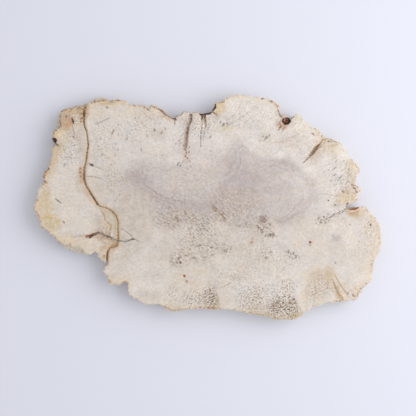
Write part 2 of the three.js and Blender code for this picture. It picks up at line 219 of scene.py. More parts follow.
VEIN = Line(BROWN, 0.92, (
    (-70.1, 60, 0.2), (-70.6, 57, 0.25), (-70.9, 54.7, 0.6), (-71.1, 49.6, 0.55), (-70.5, 46.4, 0.45),
    (-69.3, 43.3, 0.45), (-68.9, 39.8, 0.45), (-68.4, 35.6, 0.5), (-69.1, 31, 0.5), (-69.7, 26.3, 0.55),
    (-70.6, 22.4, 0.7), (-70.8, 16, 0.85), (-69.6, 12.2, 0.6), (-66.6, 7.3, 0.6), (-63, 1.6, 0.65),
    (-61.3, 0.5, 0.35), (-58.4, 0, 0.35), (-54.8, -2.2, 0.5), (-52.3, -5.2, 0.55), (-51.3, -8.8, 0.5),
    (-51.4, -13, 0.6), (-51.2, -19, 0.85), (-52.2, -22.1, 0.75), (-56.2, -23.4, 0.5), (-57.5, -26.8, 0.35),
    (-57.8, -33, 0.4),
))
LINES = (
    Line(UMBER, 0.85, ((-67.8, 9.6, 0.2), (-66.2, 6.9, 0.4), (-63.2, 1.8, 0.3))),
    Line(UMBER, 0.9, ((-57.3, -24.5, 0.3), (-57.7, -28, 0.4), (-57.7, -32, 0.4))),
    Line(UMBER, 0.6, ((-68.5, 37, 0.15), (-68.7, 34, 0.3), (-69.3, 30, 0.15))),
    Line(UMBER, 0.6, ((-70.9, 21, 0.2), (-71, 17.5, 0.35), (-70.3, 14, 0.15))),
    Line(UMBER, 0.5, ((-70.2, 59.6, 0.2), (-70.4, 58.6, 0.3), (-71.6, 57.6, 0.2))),
    Line(UMBER, 0.75, ((-70.9, 55.4, 0.4), (-71.2, 53.6, 0.6), (-70.4, 52.2, 0.4), (-73, 50.6, 0.2))),
    Line(UMBER, 0.5, ((-70.8, 49.6, 0.2), (-70.6, 47, 0.3), (-69.6, 44, 0.2))),
    Line(TAN, 0.75, ((-61.5, -1, 0.3), (-59.4, -4.3, 0.45), (-58.8, -7.4, 0.35), (-55.3, -10.4, 0.5),
        (-56.3, -15, 0.35), (-55, -19, 0.4))),
    Line(TAN, 0.6, ((-56.5, -1.3, 0.2), (-53.8, -4.4, 0.3), (-52.6, -9, 0.25), (-53, -15, 0.2))),
    Line(BROWN, 0.8, ((-9.7, 55.4, 0.9), (-9.6, 51, 0.85), (-10.4, 48.6, 0.8), (-11.8, 43, 0.9),
        (-12.1, 38, 0.9), (-12.6, 34.2, 0.7), (-12.6, 32.6, 0.4))),
    Line(UMBER, 0.65, ((-10.1, 55, 0.4), (-10, 51, 0.35), (-11.5, 48, 0.35), (-12.5, 44, 0.4),
        (-12.9, 40, 0.4), (-12.9, 36, 0.35), (-13.4, 33.4, 0.3))),
    Line(UMBER, 0.65, ((-9.2, 55, 0.4), (-9.1, 50.4, 0.4), (-10, 47.6, 0.35), (-11.1, 44, 0.45),
        (-11.3, 40, 0.4), (-11.6, 36.4, 0.35), (-12.2, 34, 0.25))),
    Line(BROWN, 0.85, ((-2.2, 55.4, 0.9), (-2, 51.5, 0.8), (-1.2, 48.8, 0.6), (-1, 46.4, 0.4))),
    Line(TAN, 0.7, ((-3.8, 51.5, 0.3), (-3.2, 48.5, 0.35), (-3.3, 45.5, 0.2))),
    Line(GREY, 0.8, ((-3.3, 45.5, 0.3), (-3.8, 42.5, 0.35), (-4, 39, 0.4), (-3.9, 34.8, 0.25))),
    Line(GREY, 0.5, ((-1.3, 46.5, 0.3), (-2, 42.5, 0.3), (-2.7, 38, 0.15))),
    Line(UMBER, 1.0, ((-3.1, 52.8, 0.7), (-2.9, 51.6, 0.6), (-3.3, 50, 0.2))),
    Line(UMBER, 1.0, ((-1.4, 53.2, 0.5), (-1.5, 51.8, 0.5), (-1.2, 49.6, 0.2))),
    Line(UMBER, 0.95, ((-9.8, 55, 0.8), (-9.7, 53.6, 0.8), (-9.9, 52, 0.4))),
    Line(BROWN, 0.92, ((3.2, 54.4, 0.5), (4.6, 53.7, 0.45), (5.6, 52.5, 0.3))),
    # painted shade: this black line darkens the deep bay in the middle of the top edge, where it lies in
    # shadow; the brown line above is a stain
    Line(BLACK, 1.0, ((-4.4, 53.4, 0.55), (-1.2, 53.4, 0.6), (1.2, 53.7, 0.6), (2.4, 54.6, 0.3),
        (3.4, 55.8, 0.5), (4.4, 57.4, 0.65), (4.6, 59, 0.4))),
    # the notch's dark brown edge: partly a brown stain, partly painted shade in the notch
    Line(UMBER, 1.0, ((-21, 51.7, 0.5), (-19.7, 51.2, 0.9), (-18.4, 50.2, 0.6))),
    Line(BROWN, 0.95, ((-28.4, 56.6, 0.3), (-26, 55.2, 0.8), (-23.4, 53, 0.7), (-20.6, 51.6, 0.7))),
    Line(BROWN, 0.85, ((-18, 52.2, 0.55), (-15.8, 52.8, 0.4), (-14.2, 54.4, 0.5))),
    Line(BROWN, 0.8, ((-19, 50.4, 0.3), (-18.8, 48.4, 0.35), (-19.2, 46.6, 0.2))),
    Line(TAN, 0.5, ((66.4, 39.4, 0.2), (65, 37.4, 0.6), (63.6, 35.6, 0.9))),
    Line(BROWN, 0.85, ((65.4, 37.2, 0.2), (63.8, 35.6, 0.6), (62, 33.7, 1.15), (60, 31, 1), (58.4, 29, 0.7),
        (56, 26.7, 0.3), (54.5, 25.5, 0.15))),
    Line(RUSSET, 0.75, ((63.8, 35.5, 0.2), (62.6, 34, 0.5), (60.9, 32, 0.45), (59, 29.8, 0.3))),
    Line(UMBER, 0.55, ((66.8, 36.6, 0.15), (65.2, 35.2, 0.3), (64, 34, 0.2))),
    Line(RUST, 1.0, ((80.8, -1, 0.3), (82.4, -1.1, 0.75), (84.2, -0.7, 0.95), (86, -0.1, 0.75),
        (87.2, 0.6, 0.3))),
    Line(RUSSET, 1.0, ((81.4, -0.7, 0.4), (83.8, -0.4, 0.65), (86, 0.3, 0.45))),
    Line(TAN, 0.85, ((80.2, -3, 0.2), (82.2, -3.5, 0.35), (84.6, -3.2, 0.35), (86.8, -2, 0.25))),
    Line(GREY, 0.7, ((80.8, -0.8, 0.35), (78.4, -1.2, 0.2), (76, -2.6, 0.25), (73.6, -3.6, 0.2))),
    Line(BROWN, 0.6, ((80.6, -2, 0.2), (78, -2.2, 0.25), (76, -3.8, 0.2), (74.6, -4.2, 0.2))),
    Line(UMBER, 0.8, ((73, -3.8, 0.2), (71.4, -5, 0.4), (69.8, -5.9, 0.3))),
    Line(BROWN, 0.7, ((69.2, -6.3, 0.2), (68, -6.7, 0.3), (66.8, -7, 0.2))),
    Line(UMBER, 0.98, ((-69.2, -16.2, 0.5), (-67.5, -16.8, 1), (-65.6, -15.8, 0.8), (-63, -14.7, 0.7))),
    Line(GREY, 0.85, ((-63, -14.5, 0.7), (-61, -15.1, 0.55), (-58.6, -16.2, 0.6), (-56.2, -17, 0.75),
        (-53.6, -18.4, 0.5), (-51.6, -19, 0.5))),
    Line(UMBER, 0.75, ((-64.4, -14.8, 0.4), (-62.6, -14.6, 0.5), (-61.4, -15.2, 0.2))),
    Line(UMBER, 0.95, ((-57.6, -16.7, 0.4), (-56, -16.9, 0.6), (-54.8, -17.6, 0.3))),
    Line(TAN, 0.6, ((-60.4, -16.8, 0.2), (-57, -18.4, 0.5), (-54, -19.2, 0.5))),
    Line(GREY, 0.9, ((-51, -19.1, 0.45), (-47, -19.7, 0.4), (-44.4, -18.6, 0.45), (-42.4, -17.9, 0.4),
        (-39.4, -19.7, 0.15))),
    Line(UMBER, 0.95, ((-44, -18.7, 0.3), (-42.8, -18.2, 0.6), (-41.8, -18.4, 0.3))),
    Line(GREY, 0.6, ((-49.5, -12.2, 0.2), (-45.4, -14.8, 0.3), (-42.6, -17.4, 0.35))),
    Line(TAN, 0.5, ((-78, -17.2, 0.15), (-73.5, -16.6, 0.25), (-70, -16.3, 0.4))),
    Line(GREY, 0.9, ((-87, 4.9, 0.3), (-85.6, 3.7, 0.5), (-84.2, 2.6, 0.25))),
    Line(UMBER, 0.6, ((-68.6, 25.4, 0.2), (-67.6, 24.9, 0.4), (-66.8, 24.4, 0.5))),
    Line(BLACK, 0.97, ((-67.4, 24.7, 0.4), (-66.5, 24.3, 0.8), (-65.4, 23.7, 0.5))),
    Line(GREY, 0.4, ((-64.6, 23.4, 0.3), (-61, 22, 0.25), (-57.6, 21, 0.15))),
    Line(BROWN, 0.9, ((-84.7, 49.8, 0.3), (-84.3, 48, 0.45), (-83.9, 46.4, 0.25))),
    Line(UMBER, 1.0, ((-77.7, 51, 0.35), (-77.2, 49.5, 0.65), (-76.8, 48.2, 0.4))),
    Line(GREY, 0.5, ((-77.6, 47, 0.2), (-76.8, 44, 0.3), (-76.3, 41.5, 0.3))),
    Line(GREY, 0.6, ((-64.4, 47.6, 0.25), (-61.5, 48.6, 0.3), (-59.4, 49.8, 0.35), (-56.2, 51.2, 0.25))),
    Line(GREY, 0.5, ((-69.6, 17.9, 0.3), (-66, 17.6, 0.3), (-63, 17.2, 0.25), (-60, 15.8, 0.2))),
    Line(GREY, 0.3, ((-41, -39.6, 0.1), (-34, -39.6, 0.2), (-30, -39, 0.2), (-24, -37, 0.1))),
    Line(TAN, 0.3, ((29, 38.2, 0.2), (36, 36.8, 0.2), (43, 37.6, 0.4), (50, 41, 0.3), (54, 43.4, 0.1))),
    Line(TAN, 0.45, ((46, 35.2, 0.15), (48.6, 36, 0.2), (51, 35, 0.2), (53.6, 32.4, 0.1))),
    Line(GREY, 0.45, ((64.6, 8.3, 0.15), (68, 7.6, 0.2), (72, 6.8, 0.2), (77, 6.4, 0.1))),
    Line(TAN, 0.45, ((7, -46.4, 0.3), (10.4, -44.8, 0.45), (14, -43.3, 0.2))),
    Line(TAN, 0.6, ((72.8, -38.6, 0.4), (75, -43, 0.6), (77.6, -47, 0.6), (80, -50, 0.5))),
    Line(GREY, 0.3, ((-35, 12.4, 0.3), (-30, 8.6, 0.4), (-25, 6, 0.4), (-20, 4.2, 0.3), (-14, 3, 0.2))),
    Line(GREY, 0.3, ((12, 47, 0.2), (18, 50.6, 0.3), (24, 55, 0.3), (28.6, 59, 0.2))),
    Line(TAN, 0.6, ((71.6, -42, 0.5), (73, -45.6, 0.7), (75, -49.8, 0.9), (77.2, -52.6, 0.9))),
    Line(BROWN, 0.6, ((72.6, -44, 0.2), (73.8, -47.6, 0.3), (75.4, -50.8, 0.4), (77, -52.8, 0.4))),
    Line(GREY, 0.35, ((-13.6, 5, 0.25), (-13.3, 1, 0.3))),
    # painted shade: the black ring darkens the deep pocket in the top edge, round its rusty floor
    Line(BLACK, 1.0, ((43.4, 51, 0.5), (43.3, 49.4, 0.65), (44.3, 47.9, 0.7), (46, 48.1, 0.7),
        (47.2, 49.5, 0.75), (46.9, 50.8, 0.6), (45.6, 51.3, 0.4))),
    Line(RUSSET, 1.0, ((44.7, 51.2, 0.6), (45.2, 49.8, 1.1), (45.2, 49, 0.6))),
    Line(RUST, 1.0, ((44.5, 51.2, 0.35), (44.9, 50.2, 0.6), (44.9, 49.4, 0.3))),
    Line(RUSSET, 0.95, ((40.2, 56.4, 0.3), (41, 54.2, 0.5), (41.8, 52.6, 0.6), (43, 51, 0.4))),
    Line(UMBER, 0.9, ((48, 50.6, 0.3), (49.2, 52, 0.3), (50, 53, 0.15))),
    Line(RUSSET, 0.85, ((41.6, 47.4, 0.3), (42.2, 46.4, 0.6), (41.2, 45.4, 0.4), (40.6, 44, 0.2))),
    Line(BROWN, 0.6, ((44, 46, 0.4), (43.2, 44.4, 0.3), (42.6, 43, 0.15))),
    Line(GREY, 0.6, ((43.2, 51.6, 0.3), (41.2, 48.6, 0.3), (39.4, 46.6, 0.15))),
)
SPECKS = (
    Specks(UMBER, 0.97, 82, ((-9.7, 53.2, 0.9, 0.6), (-9.4, 50.8, 0.7, 0.5), (-11.2, 45, 0.9, 0.5),
        (-11.6, 42.6, 0.9, 0.55), (-12.1, 39.6, 0.9, 0.5), (-12.3, 36.2, 0.6, 0.45))),
    Specks(BLACK, 1.0, -40, ((-87.8, 38.6, 1.5, 1.2), (-87.4, 37.2, 0.8, 0.5))),
    Specks(UMBER, 0.95, 30, ((-91.4, 22, 1.1, 0.7), (93.4, -10, 0.6, 0.5), (-34.2, 56.2, 0.7, 0.6),
        (80, 2, 0.8, 0.6), (73, 1.2, 0.7, 0.4), (31.6, 62.4, 1, 0.5), (69.3, 4, 0.4, 0.35),
        (69.6, 37.8, 0.6, 0.5))),
    Specks(RUSSET, 0.9, -45, ((-86.3, 35.8, 0.8, 0.7), (-92.9, 20.4, 0.7, 0.6), (-64.8, 60.7, 0.8, 0.4))),
    Specks(BROWN, 0.85, -45, ((-93.2, 14.7, 1.3, 0.7), (-76.8, 40.4, 0.8, 0.5), (77.6, 9, 0.8, 0.5),
        (83, 12.8, 1, 0.6), (84.2, 10.8, 1, 0.7), (85.4, 8.8, 1, 0.6), (-88.6, 44.6, 1.2, 0.5),
        (-42, 58.4, 1, 0.4), (75.6, 37.4, 0.8, 0.5), (83.6, -50.6, 1, 0.5), (80.6, -49.4, 0.6, 0.4),
        (84.6, 12.6, 0.6, 0.4), (-82.4, -8.6, 0.9, 0.4), (60.3, 42, 1, 0.5), (-58, 57.6, 0.6, 0.4))),
    Specks(UMBER, 0.8, 62, ((-54.2, 43.4, 1.6, 0.45), (-12.2, 31.2, 0.7, 0.4), (-10.6, 31.8, 0.9, 0.3),
        (-12.6, 29.4, 0.6, 0.45), (-11.6, 28, 0.6, 0.5), (-13, 33.4, 0.6, 0.4), (-10.6, 34.4, 0.6, 0.3),
        (-13.8, 35.6, 0.5, 0.3))),
    Specks(BROWN, 0.6, -60, ((-10.2, 26.4, 0.8, 0.35), (-9.6, 23.4, 0.8, 0.35), (-11.6, 22, 0.9, 0.35),
        (-38, 32.9, 0.9, 0.35), (-24.4, 45.2, 0.9, 0.4), (81.6, -9.9, 0.6, 0.5), (-57.6, 57.4, 0.9, 0.5))),
    Specks(GREY, 0.75, 55, ((-17, 24.8, 1.2, 0.4), (-15.6, 23.8, 1, 0.4), (-14.2, 26, 1, 0.2),
        (1.6, 40.2, 1, 0.4), (-46.2, 39.2, 0.6, 0.45), (-51.4, 32.8, 0.7, 0.3), (-60.4, 30.2, 0.6, 0.4),
        (-55.4, 24.2, 0.5, 0.4), (-26.4, 42.8, 0.9, 0.5), (-30.6, 44.4, 0.7, 0.5), (75.4, 16.2, 1.7, 0.3),
        (-1.7, -12, 0.6, 0.5), (-82, 24.2, 0.7, 0.4), (73.2, -32, 0.6, 0.4), (-14.6, 41.6, 1.4, 0.25),
        (9, 47.4, 1, 0.5), (11.2, 48, 0.7, 0.6), (7.4, 49, 0.6, 0.4), (33.4, 39.8, 1.3, 0.8),
        (31.8, 40.6, 0.6, 0.4), (35.4, 41, 0.6, 0.4), (-18.2, 36.2, 0.6, 0.3), (-16.2, 38.4, 0.7, 0.3))),
    Specks(GREY, 0.45, 48, ((-61.6, 39.4, 0.5, 0.3), (-60.2, 44.2, 0.8, 0.25), (-62.4, 47, 0.6, 0.25),
        (-58, 32.6, 0.5, 0.3), (-52.6, 36.4, 0.6, 0.2), (-50.6, 52.4, 0.6, 0.3), (-37.6, 48.4, 0.9, 0.4),
        (-36, 47, 0.8, 0.4), (-27.2, 48.2, 0.7, 0.4), (-41.6, 44.6, 0.8, 0.3), (-25.6, 30.2, 0.8, 0.25),
        (-15.6, 36.8, 0.7, 0.3), (1.8, 32.4, 0.6, 0.45), (-49.2, 17.2, 0.7, 0.3), (-50.6, 7, 0.6, 0.3),
        (30.4, 38.4, 0.7, 0.4), (2.4, 37, 0.5, 0.3), (97, -11, 0.5, 0.3))),
    Specks(BROWN, 0.5, -55, ((31.6, -6.8, 2.4, 1.7), (33.2, -4.8, 0.7, 0.5), (28.6, -11.4, 1.6, 0.8),
        (30.8, -13.6, 1.6, 0.9), (33.4, -11.8, 0.8, 0.5), (21.8, -9.3, 0.8, 0.6), (-13, -3.2, 1.2, 0.8),
        (-17.6, -6.8, 1.8, 0.9), (3.8, -0.6, 2.2, 1.1))),
    Specks(BROWN, 0.65, -50, ((8.4, -4.8, 1.4, 0.7), (9.4, -6.8, 1, 0.8), (3, -0.4, 1.2, 0.6),
        (29, -11.6, 1, 0.7), (35.6, -10, 0.8, 0.7), (31, -7.4, 1.4, 1.1))),
    Specks(BROWN, 0.45, 5, ((-24.8, -8.7, 0.9, 0.5), (-22.6, -9.6, 0.7, 0.4), (17.9, -10.7, 0.9, 0.5),
        (9.8, -21.6, 1, 0.5), (10.2, -25.4, 1.2, 0.6), (36.2, -25.8, 1, 0.6))),
    Specks(UMBER, 0.6, 12, ((33.4, -28.9, 0.7, 0.6), (36.4, -15.6, 1.9, 0.8), (33.6, -16.4, 0.9, 0.5),
        (-16.8, -29.2, 0.8, 0.6), (-5, -22, 1.5, 0.4), (2.4, -22.9, 1, 0.4), (-12, -27.6, 1.2, 0.35),
        (-7.4, -29, 1.1, 0.3), (-1.6, -28.6, 1.2, 0.3), (2.6, -27.4, 1.2, 0.3), (-9, -21.6, 1, 0.3))),
    Specks(UMBER, 0.65, -50, ((-15.8, -31.6, 1.1, 0.6),)),
    Specks(GREY, 0.6, 70, ((46.4, -25.6, 0.9, 0.6), (49.2, -26.2, 0.9, 0.4), (50.5, -28.5, 0.9, 0.6),
        (63.6, -6.2, 0.8, 0.4), (65, -7.6, 0.7, 0.4), (66.4, -5.4, 0.6, 0.4))),
    Specks(UMBER, 0.65, 28, ((49.3, -52.6, 1.1, 0.6), (47.1, -54.7, 1.1, 0.4), (37.4, -57.2, 0.8, 0.5),
        (47, -51.4, 0.9, 0.35), (39.6, -54.6, 0.8, 0.3), (2.4, -53.4, 0.7, 0.4))),
    Specks(RUST, 0.98, 0, ((-69, -16.7, 0.8, 0.9), (-51.2, 61.3, 1, 0.4), (-60, 61.2, 1.2, 0.4))),
    Specks(RUST, 1.0, 0, ((-13.3, -39.3, 0.72, 0.72), (58.8, -20, 0.7, 0.75))),
    Specks(RUSSET, 0.9, 20, ((-83.4, 55, 0.6, 0.4), (-78, 56.2, 0.7, 0.4), (-75.4, 58, 0.7, 0.35),
        (-85, 45.6, 0.6, 0.4), (-86.8, 44, 0.6, 0.4), (-72.6, 49, 0.5, 0.35))),
    Specks(UMBER, 0.95, 60, ((-69.7, 57.4, 0.5, 0.35), (-71.8, 56.2, 0.6, 0.35), (-72.2, 53.6, 0.6, 0.35),
        (-70, 53.8, 0.5, 0.3), (-72, 51, 0.5, 0.35), (-70.2, 50.6, 0.5, 0.3), (-79.8, 56.8, 0.6, 0.35),
        (-76.6, 57.6, 0.6, 0.3), (-74.2, 56.4, 0.5, 0.35), (-73.4, 59, 0.6, 0.35), (-72.8, 22.4, 0.5, 0.35),
        (-73, 20, 0.5, 0.4), (-72.6, 17.8, 0.5, 0.35), (-84.6, 52, 0.6, 0.35), (-81, 52, 0.6, 0.5))),
    Specks(TAN, 0.8, 30, ((-12, -42.5, 1.1, 0.8), (58.7, -21.6, 0.6, 0.6), (25, -20.2, 1.3, 0.8),
        (25.6, -18, 0.6, 0.5), (-53.4, -21.4, 2.4, 0.9), (-59.2, -28, 1, 0.9))),
)

SHELVES = (
    Shelf(45.2, 50.4, 4.2, 0.3, 2.3), Shelf(83.8, -0.8, 3.6, -0.2, 1.7), Shelf(-19.6, 51.6, 2, 0.1, 0.7),
)

HEART_RIGHT = Patch(34, 9, (
    (0, 28), (15, 27), (31, 23.5), (46, 23.5), (58, 23), (73, 21), (96, 20), (108, 23.5), (114, 29),
    (123, 34), (136, 32), (155, 31), (173, 31), (189, 31), (207, 32), (226, 29), (252, 24), (281, 22),
    (302, 23), (324, 26), (342, 28.5), (360, 28),
), strength=0.66, fade=0.14, lower_fade=0.4)
HEART_LEFT = Patch(-12, 12, (
    (0, 30), (30, 20), (60, 14), (90, 13), (120, 15), (150, 26), (165, 36), (180, 33), (195, 27),
    (210, 26), (225, 27), (240, 26), (270, 25), (300, 29), (330, 36), (360, 30),
), strength=0.66, fade=0.24, lower_fade=0.3)
HEART_CORES = ovals(
    (17, 22, 8, 9, 0.22, 15), (43, 24, 9, 4, 0.1, -10), (20, 13, 14, 9, 0.28), (-40, 17, 10, 5, 0.32, -20),
    (-29, 6.5, 13, 3.4, 0.3, -32), (2, 0, 12, 5, 0.25), (-12, 1, 13, 3.4, 0.22), (7, 9, 9, 3.4, 0.2, 52),
    (6, 25, 8, 9, 0.26), (-20, 31, 36, 9, 0.24), (-56, 4, 12, 20, 0.16), (30, 20, 10, 6, 0.14),
    (52, -2, 14, 3.4, 0.2, 38), (60, 11, 3, 9, 0.1, 15), (44, -6.5, 9, 3, 0.16, 8), (36, 10, 6, 3.4, 0.2),
    (58, 14, 3, 5, 0.12, 30), (-43, 17, 5, 5, 0.1),
) + ovals(
    (75, -16, 4, 4, 0.4), edge=SOFT,
)
ISLAND = Oval(-9, 16.4, 20, 9, 0.32, edge=SOFT)
GREIGE = Layer("#B3A391", ovals(
    (41, 53, 4, 4, 0.5), (-20, 52, 8, 2.4, 0.3, -20), (5, 53, 3, 3, 0.5), (75, 1, 5, 2.4, 0.4),
    (30, -59, 10, 4, 0.45, -10), (10, -52, 5, 6, 0.3), (-33, -50, 8, 5, 0.3), (-48, -13, 7, 5, 0.4),
    (-62, 28, 12, 8, 0.2), (-16, -8, 17, 8, 0.4, -5), (4, -11, 24, 9, 0.34, -8), (0, -24, 44, 19, 0.38),
    (30, -14, 12, 10, 0.3), (-44, -8, 16, 26, 0.48), (-56, 8, 16, 20, 0.24), (66, -20, 28, 20, 0.26),
    (0, -38, 50, 12, 0.2), (26, -56, 12, 8, 0.2), (-18, -31, 7, 5, 0.45), (6, -3, 7, 3, 0.6, -42),
    (14, 3, 22, 9, 0.28), (-58, -9, 9, 12, 0.5), (45, -8, 18, 4, 0.3, 12), (-10, 16, 22, 8, 0.15, 10),
    (70, -39, 4.4, 6.5, 0.5, 10), (63, -38, 7, 4.5, 0.3, 20), (74.6, -48, 2.4, 7, 0.6, 24),
    (-47, -17, 8, 4, 0.5), (38, -59, 6, 5, 0.7), (50, -57, 4, 6, 0.7), (-50, -26, 12, 14, 0.35),
    (-22, -36, 16, 8, 0.2), (4, -44, 6, 4, 0.4), (-86, 34, 5, 4, 0.4), (-72.5, 38, 3, 12, 0.4),
    (-28, 43, 6, 5, 0.3), (33, 40, 5, 3, 0.3), (-75, -16, 8, 3, 0.3), (2, -34.6, 9, 1.3, 0.4, -22),
    (15, -39.8, 9, 1.4, 0.45, -8), (-12, -30, 12, 1.8, 0.4, 8), (-51, -15, 4, 6, 0.55),
    (-37, -6, 5, 14, 0.35, 8), (-66, 25, 3, 2, 0.4), (-74, 14, 2.4, 8, 0.4, 8), (-71.6, 27, 1.6, 3, 0.4),
    (-29, 34, 7, 3, 0.25), (35, -62, 7, 2.4, 0.9, -12), (49, -62.4, 4, 2, 0.9), (-18, -58.4, 8, 2, 0.5),
    (86, -4, 5, 5, 0.35), (79, -41, 3.4, 8, 0.2, 20), (-55, -41, 5, 3, 0.3), (-12, 11, 11, 3, 0.25),
    (45, -28, 8, 4, 0.15), (96, -26, 3, 5, 0.3),
) + ovals(
    (2, -54.5, 7, 7, 0.6), (43, -58.5, 11, 7.5, 0.6), (4, -55, 5, 5, 0.9), edge=SOFT,
))
OCHRE = Layer("#D0B787", ovals(
    (-93, 2, 7, 8, 0.65), (-96, -4, 6, 10, 0.5, 15), (-91, 26, 5, 12, 0.5, 12), (-80, -20, 14, 5, 0.4, -25),
    (6.6, 57.6, 5, 4, 0.9, 40), (10, 45, 7, 3, 0.35), (22, 62, 12, 3.5, 0.15), (-60, 60, 14, 4, 0.35, 5),
    (80, 6, 6, 5, 0.38, 15), (84, 21, 5, 9, 0.2), (71, 35, 8, 6, 0.35, -30), (96, -19, 5, 14, 0.2),
    (62, -39, 10, 7, 0.28, 30), (71, -41, 5, 9, 0.42, 20), (75, -48, 3, 9, 0.4, 30), (60, -52, 10, 8, 0.2),
    (-20, -55, 12, 5, 0.2), (-66, 55, 12, 6, 0.25), (-40, 54, 16, 4, 0.25, -10), (-86, 33, 5, 8, 0.5),
    (90, -36, 5, 14, 0.12), (-84, 44, 6, 10, 0.65), (-67, -20, 12, 6, 0.3), (-78, 5, 20, 24, 0.12),
    (50, 48, 14, 5, 0.2, -40), (-57, -8, 5, 8, 0.3, 20), (90, -29, 8, 10, 0.16), (94, -14, 5, 8, 0.15),
    (-79, 50, 8, 6, 0.35), (85, -3, 6, 4, 0.35), (-10, -42, 13, 13, 0.16), (49, -58, 6, 5, 0.2),
    (-50, -42, 10, 5, 0.2), (61, 33, 4, 7, 0.3, -35), (-56, 62, 9, 1.6, 0.3), (80, -47, 3, 6, 0.2, 20),
    (17, -25, 10, 6, 0.08),
) + ovals(
    (-90, -8, 7, 6, 0.8, -40), edge=SOFT,
))
RUST_TAN = Layer("#B98A60", ovals(
    (-9, 52, 3, 5, 0.3), (-1.6, 52, 3, 4, 0.2), (-20, 51, 3.4, 2.4, 0.2), (-77, 43, 4, 8, 0.18),
    (-12.4, 40, 2.2, 12, 0.25), (-61, -16, 8, 3, 0.45, -15), (-88, 28, 3, 9, 0.3), (-86, 38, 3, 5, 0.25),
    (63, 31, 4, 8, 0.25, -35),
) + ovals(
    (-81, 49.6, 5, 5.4, 0.7), (-76, 56, 9, 3.4, 0.5, 8), (-71.4, 54, 3.4, 7, 0.7), (-72.2, 19, 2.2, 6, 0.7),
    (-68, 8, 2.5, 9, 0.4, 32), (-54, -21, 5, 3, 0.35, 10), (-59, -26, 2.8, 6, 0.45, 10),
    (-24, 54, 5, 2, 0.12, -40), (64, 36, 2.4, 7, 0.4, -35), (-12.3, 29, 2.4, 5, 0.25),
    (-93, 20.5, 2.4, 1.6, 0.6, 50), (43.4, 46.6, 4, 3, 0.6, 15), (83.5, -3.6, 4, 1.6, 0.35, 10), edge=SOFT,
), pitch=2.2)
LILAC = Layer("#A99C9E", ovals(
    (-82.6, 53.4, 2.4, 2.2, 0.65, 30), (-70, 57, 3, 4, 0.3), (74, -16, 3.6, 3.4, 0.3),
    (31.5, -8, 3.4, 2.8, 0.6), (44, -24, 9, 3, 0.25, -30), (-2, 46, 3.4, 7, 0.25), (-7, 48, 9, 4, 0.2),
    (64, 8, 8, 8, 0.1), (-42, 10, 12, 9, 0.14, -30), (40, 31, 22, 6, 0.07, -8), (76, -10, 9, 5, 0.14, -20),
), pitch=3.0)
# iron that soaked in between the vessels near the edge, and left a rusty net
NET = Layer("#C29560", ovals(
    (82, 9, 5, 11, 0.7), (82.6, 21, 4, 8, 0.6, 10), (71, 34, 8, 5, 0.4, -20), (78, 5, 7, 5, 0.5),
    (84, -3, 6, 3, 0.5), (-93, 16, 4, 14, 0.6), (-88, 43, 4, 6, 0.7), (-77, 56, 10, 4, 0.8, 8),
    (-71, 56, 4, 6, 0.8), (7, 58, 5, 5, 0.6, 40), (-24, 53, 6, 3.4, 0.7, -40), (-60, 61, 14, 2.4, 0.7),
    (41, 47, 5, 5, 0.5, 30), (64, 41, 6, 5, 0.4, -40), (86, -47, 8, 4, 0.45, 40), (97, -22, 4, 16, 0.15),
    (-57, -23, 5, 6, 0.6), (-98, -4, 4, 10, 0.3), (48, 37, 9, 3, 0.2, 10), (-36, 57, 10, 2, 0.5, -10),
    (77, -51, 4, 4, 0.6), (-84, -20, 10, 4, 0.2, -30), (94, -15, 5, 18, 0.4, 5), (64, -46, 9, 8, 0.35),
), pitch=1.5, levels=(0.46, 0.62))
# clearer, paler stone
PALE = Layer("#EEE6DD", ovals(
    (20, 57, 17, 7, 0.5), (34, 52, 8, 8, 0.55), (57, 45, 8, 5, 0.5, -35), (67, 38, 4, 4, 0.3),
    (78, 32, 5, 6, 0.55, 20), (85, 20, 3, 9, 0.5), (54, 12, 6, 9, 0.3), (12, -33, 11, 6, 0.2),
    (10, -42, 5, 4, 0.35), (-6, 48, 5, 7, 0.5), (95, -20, 4, 10, 0.3), (-28, 35, 11, 5, 0.35),
    (41, 29, 5, 2.4, 0.5), (75, -12, 6, 4, 0.35), (82.4, -17, 4, 8, 0.4), (-19, 28, 5, 4, 0.3),
    (-12, -13, 7, 5, 0.3), (6, -11, 7, 3, 0.35), (90, -40, 4, 8, 0.15, -15), (-66, 4, 4, 5, 0.3),
    (-68, 40, 1.6, 8, 0.4), (86, 8, 2.4, 5, 0.5), (-58, -25, 3, 3, 0.3), (-20, -44, 6, 3, 0.12),
    (32, -42, 8, 4, 0.25), (-39, 2, 1.2, 8, 0.16, 8), (-34.4, -5, 1, 7, 0.14, 8), (47, 16.4, 8, 1, 0.2, -25),
    (56, 8, 1, 6, 0.25, 20), (-62, -3, 2, 2, 0.3), (-84, 41, 4, 4, 0.35), (18, -14, 8, 4, 0.2),
    (0, -14, 5, 3, 0.2),
))
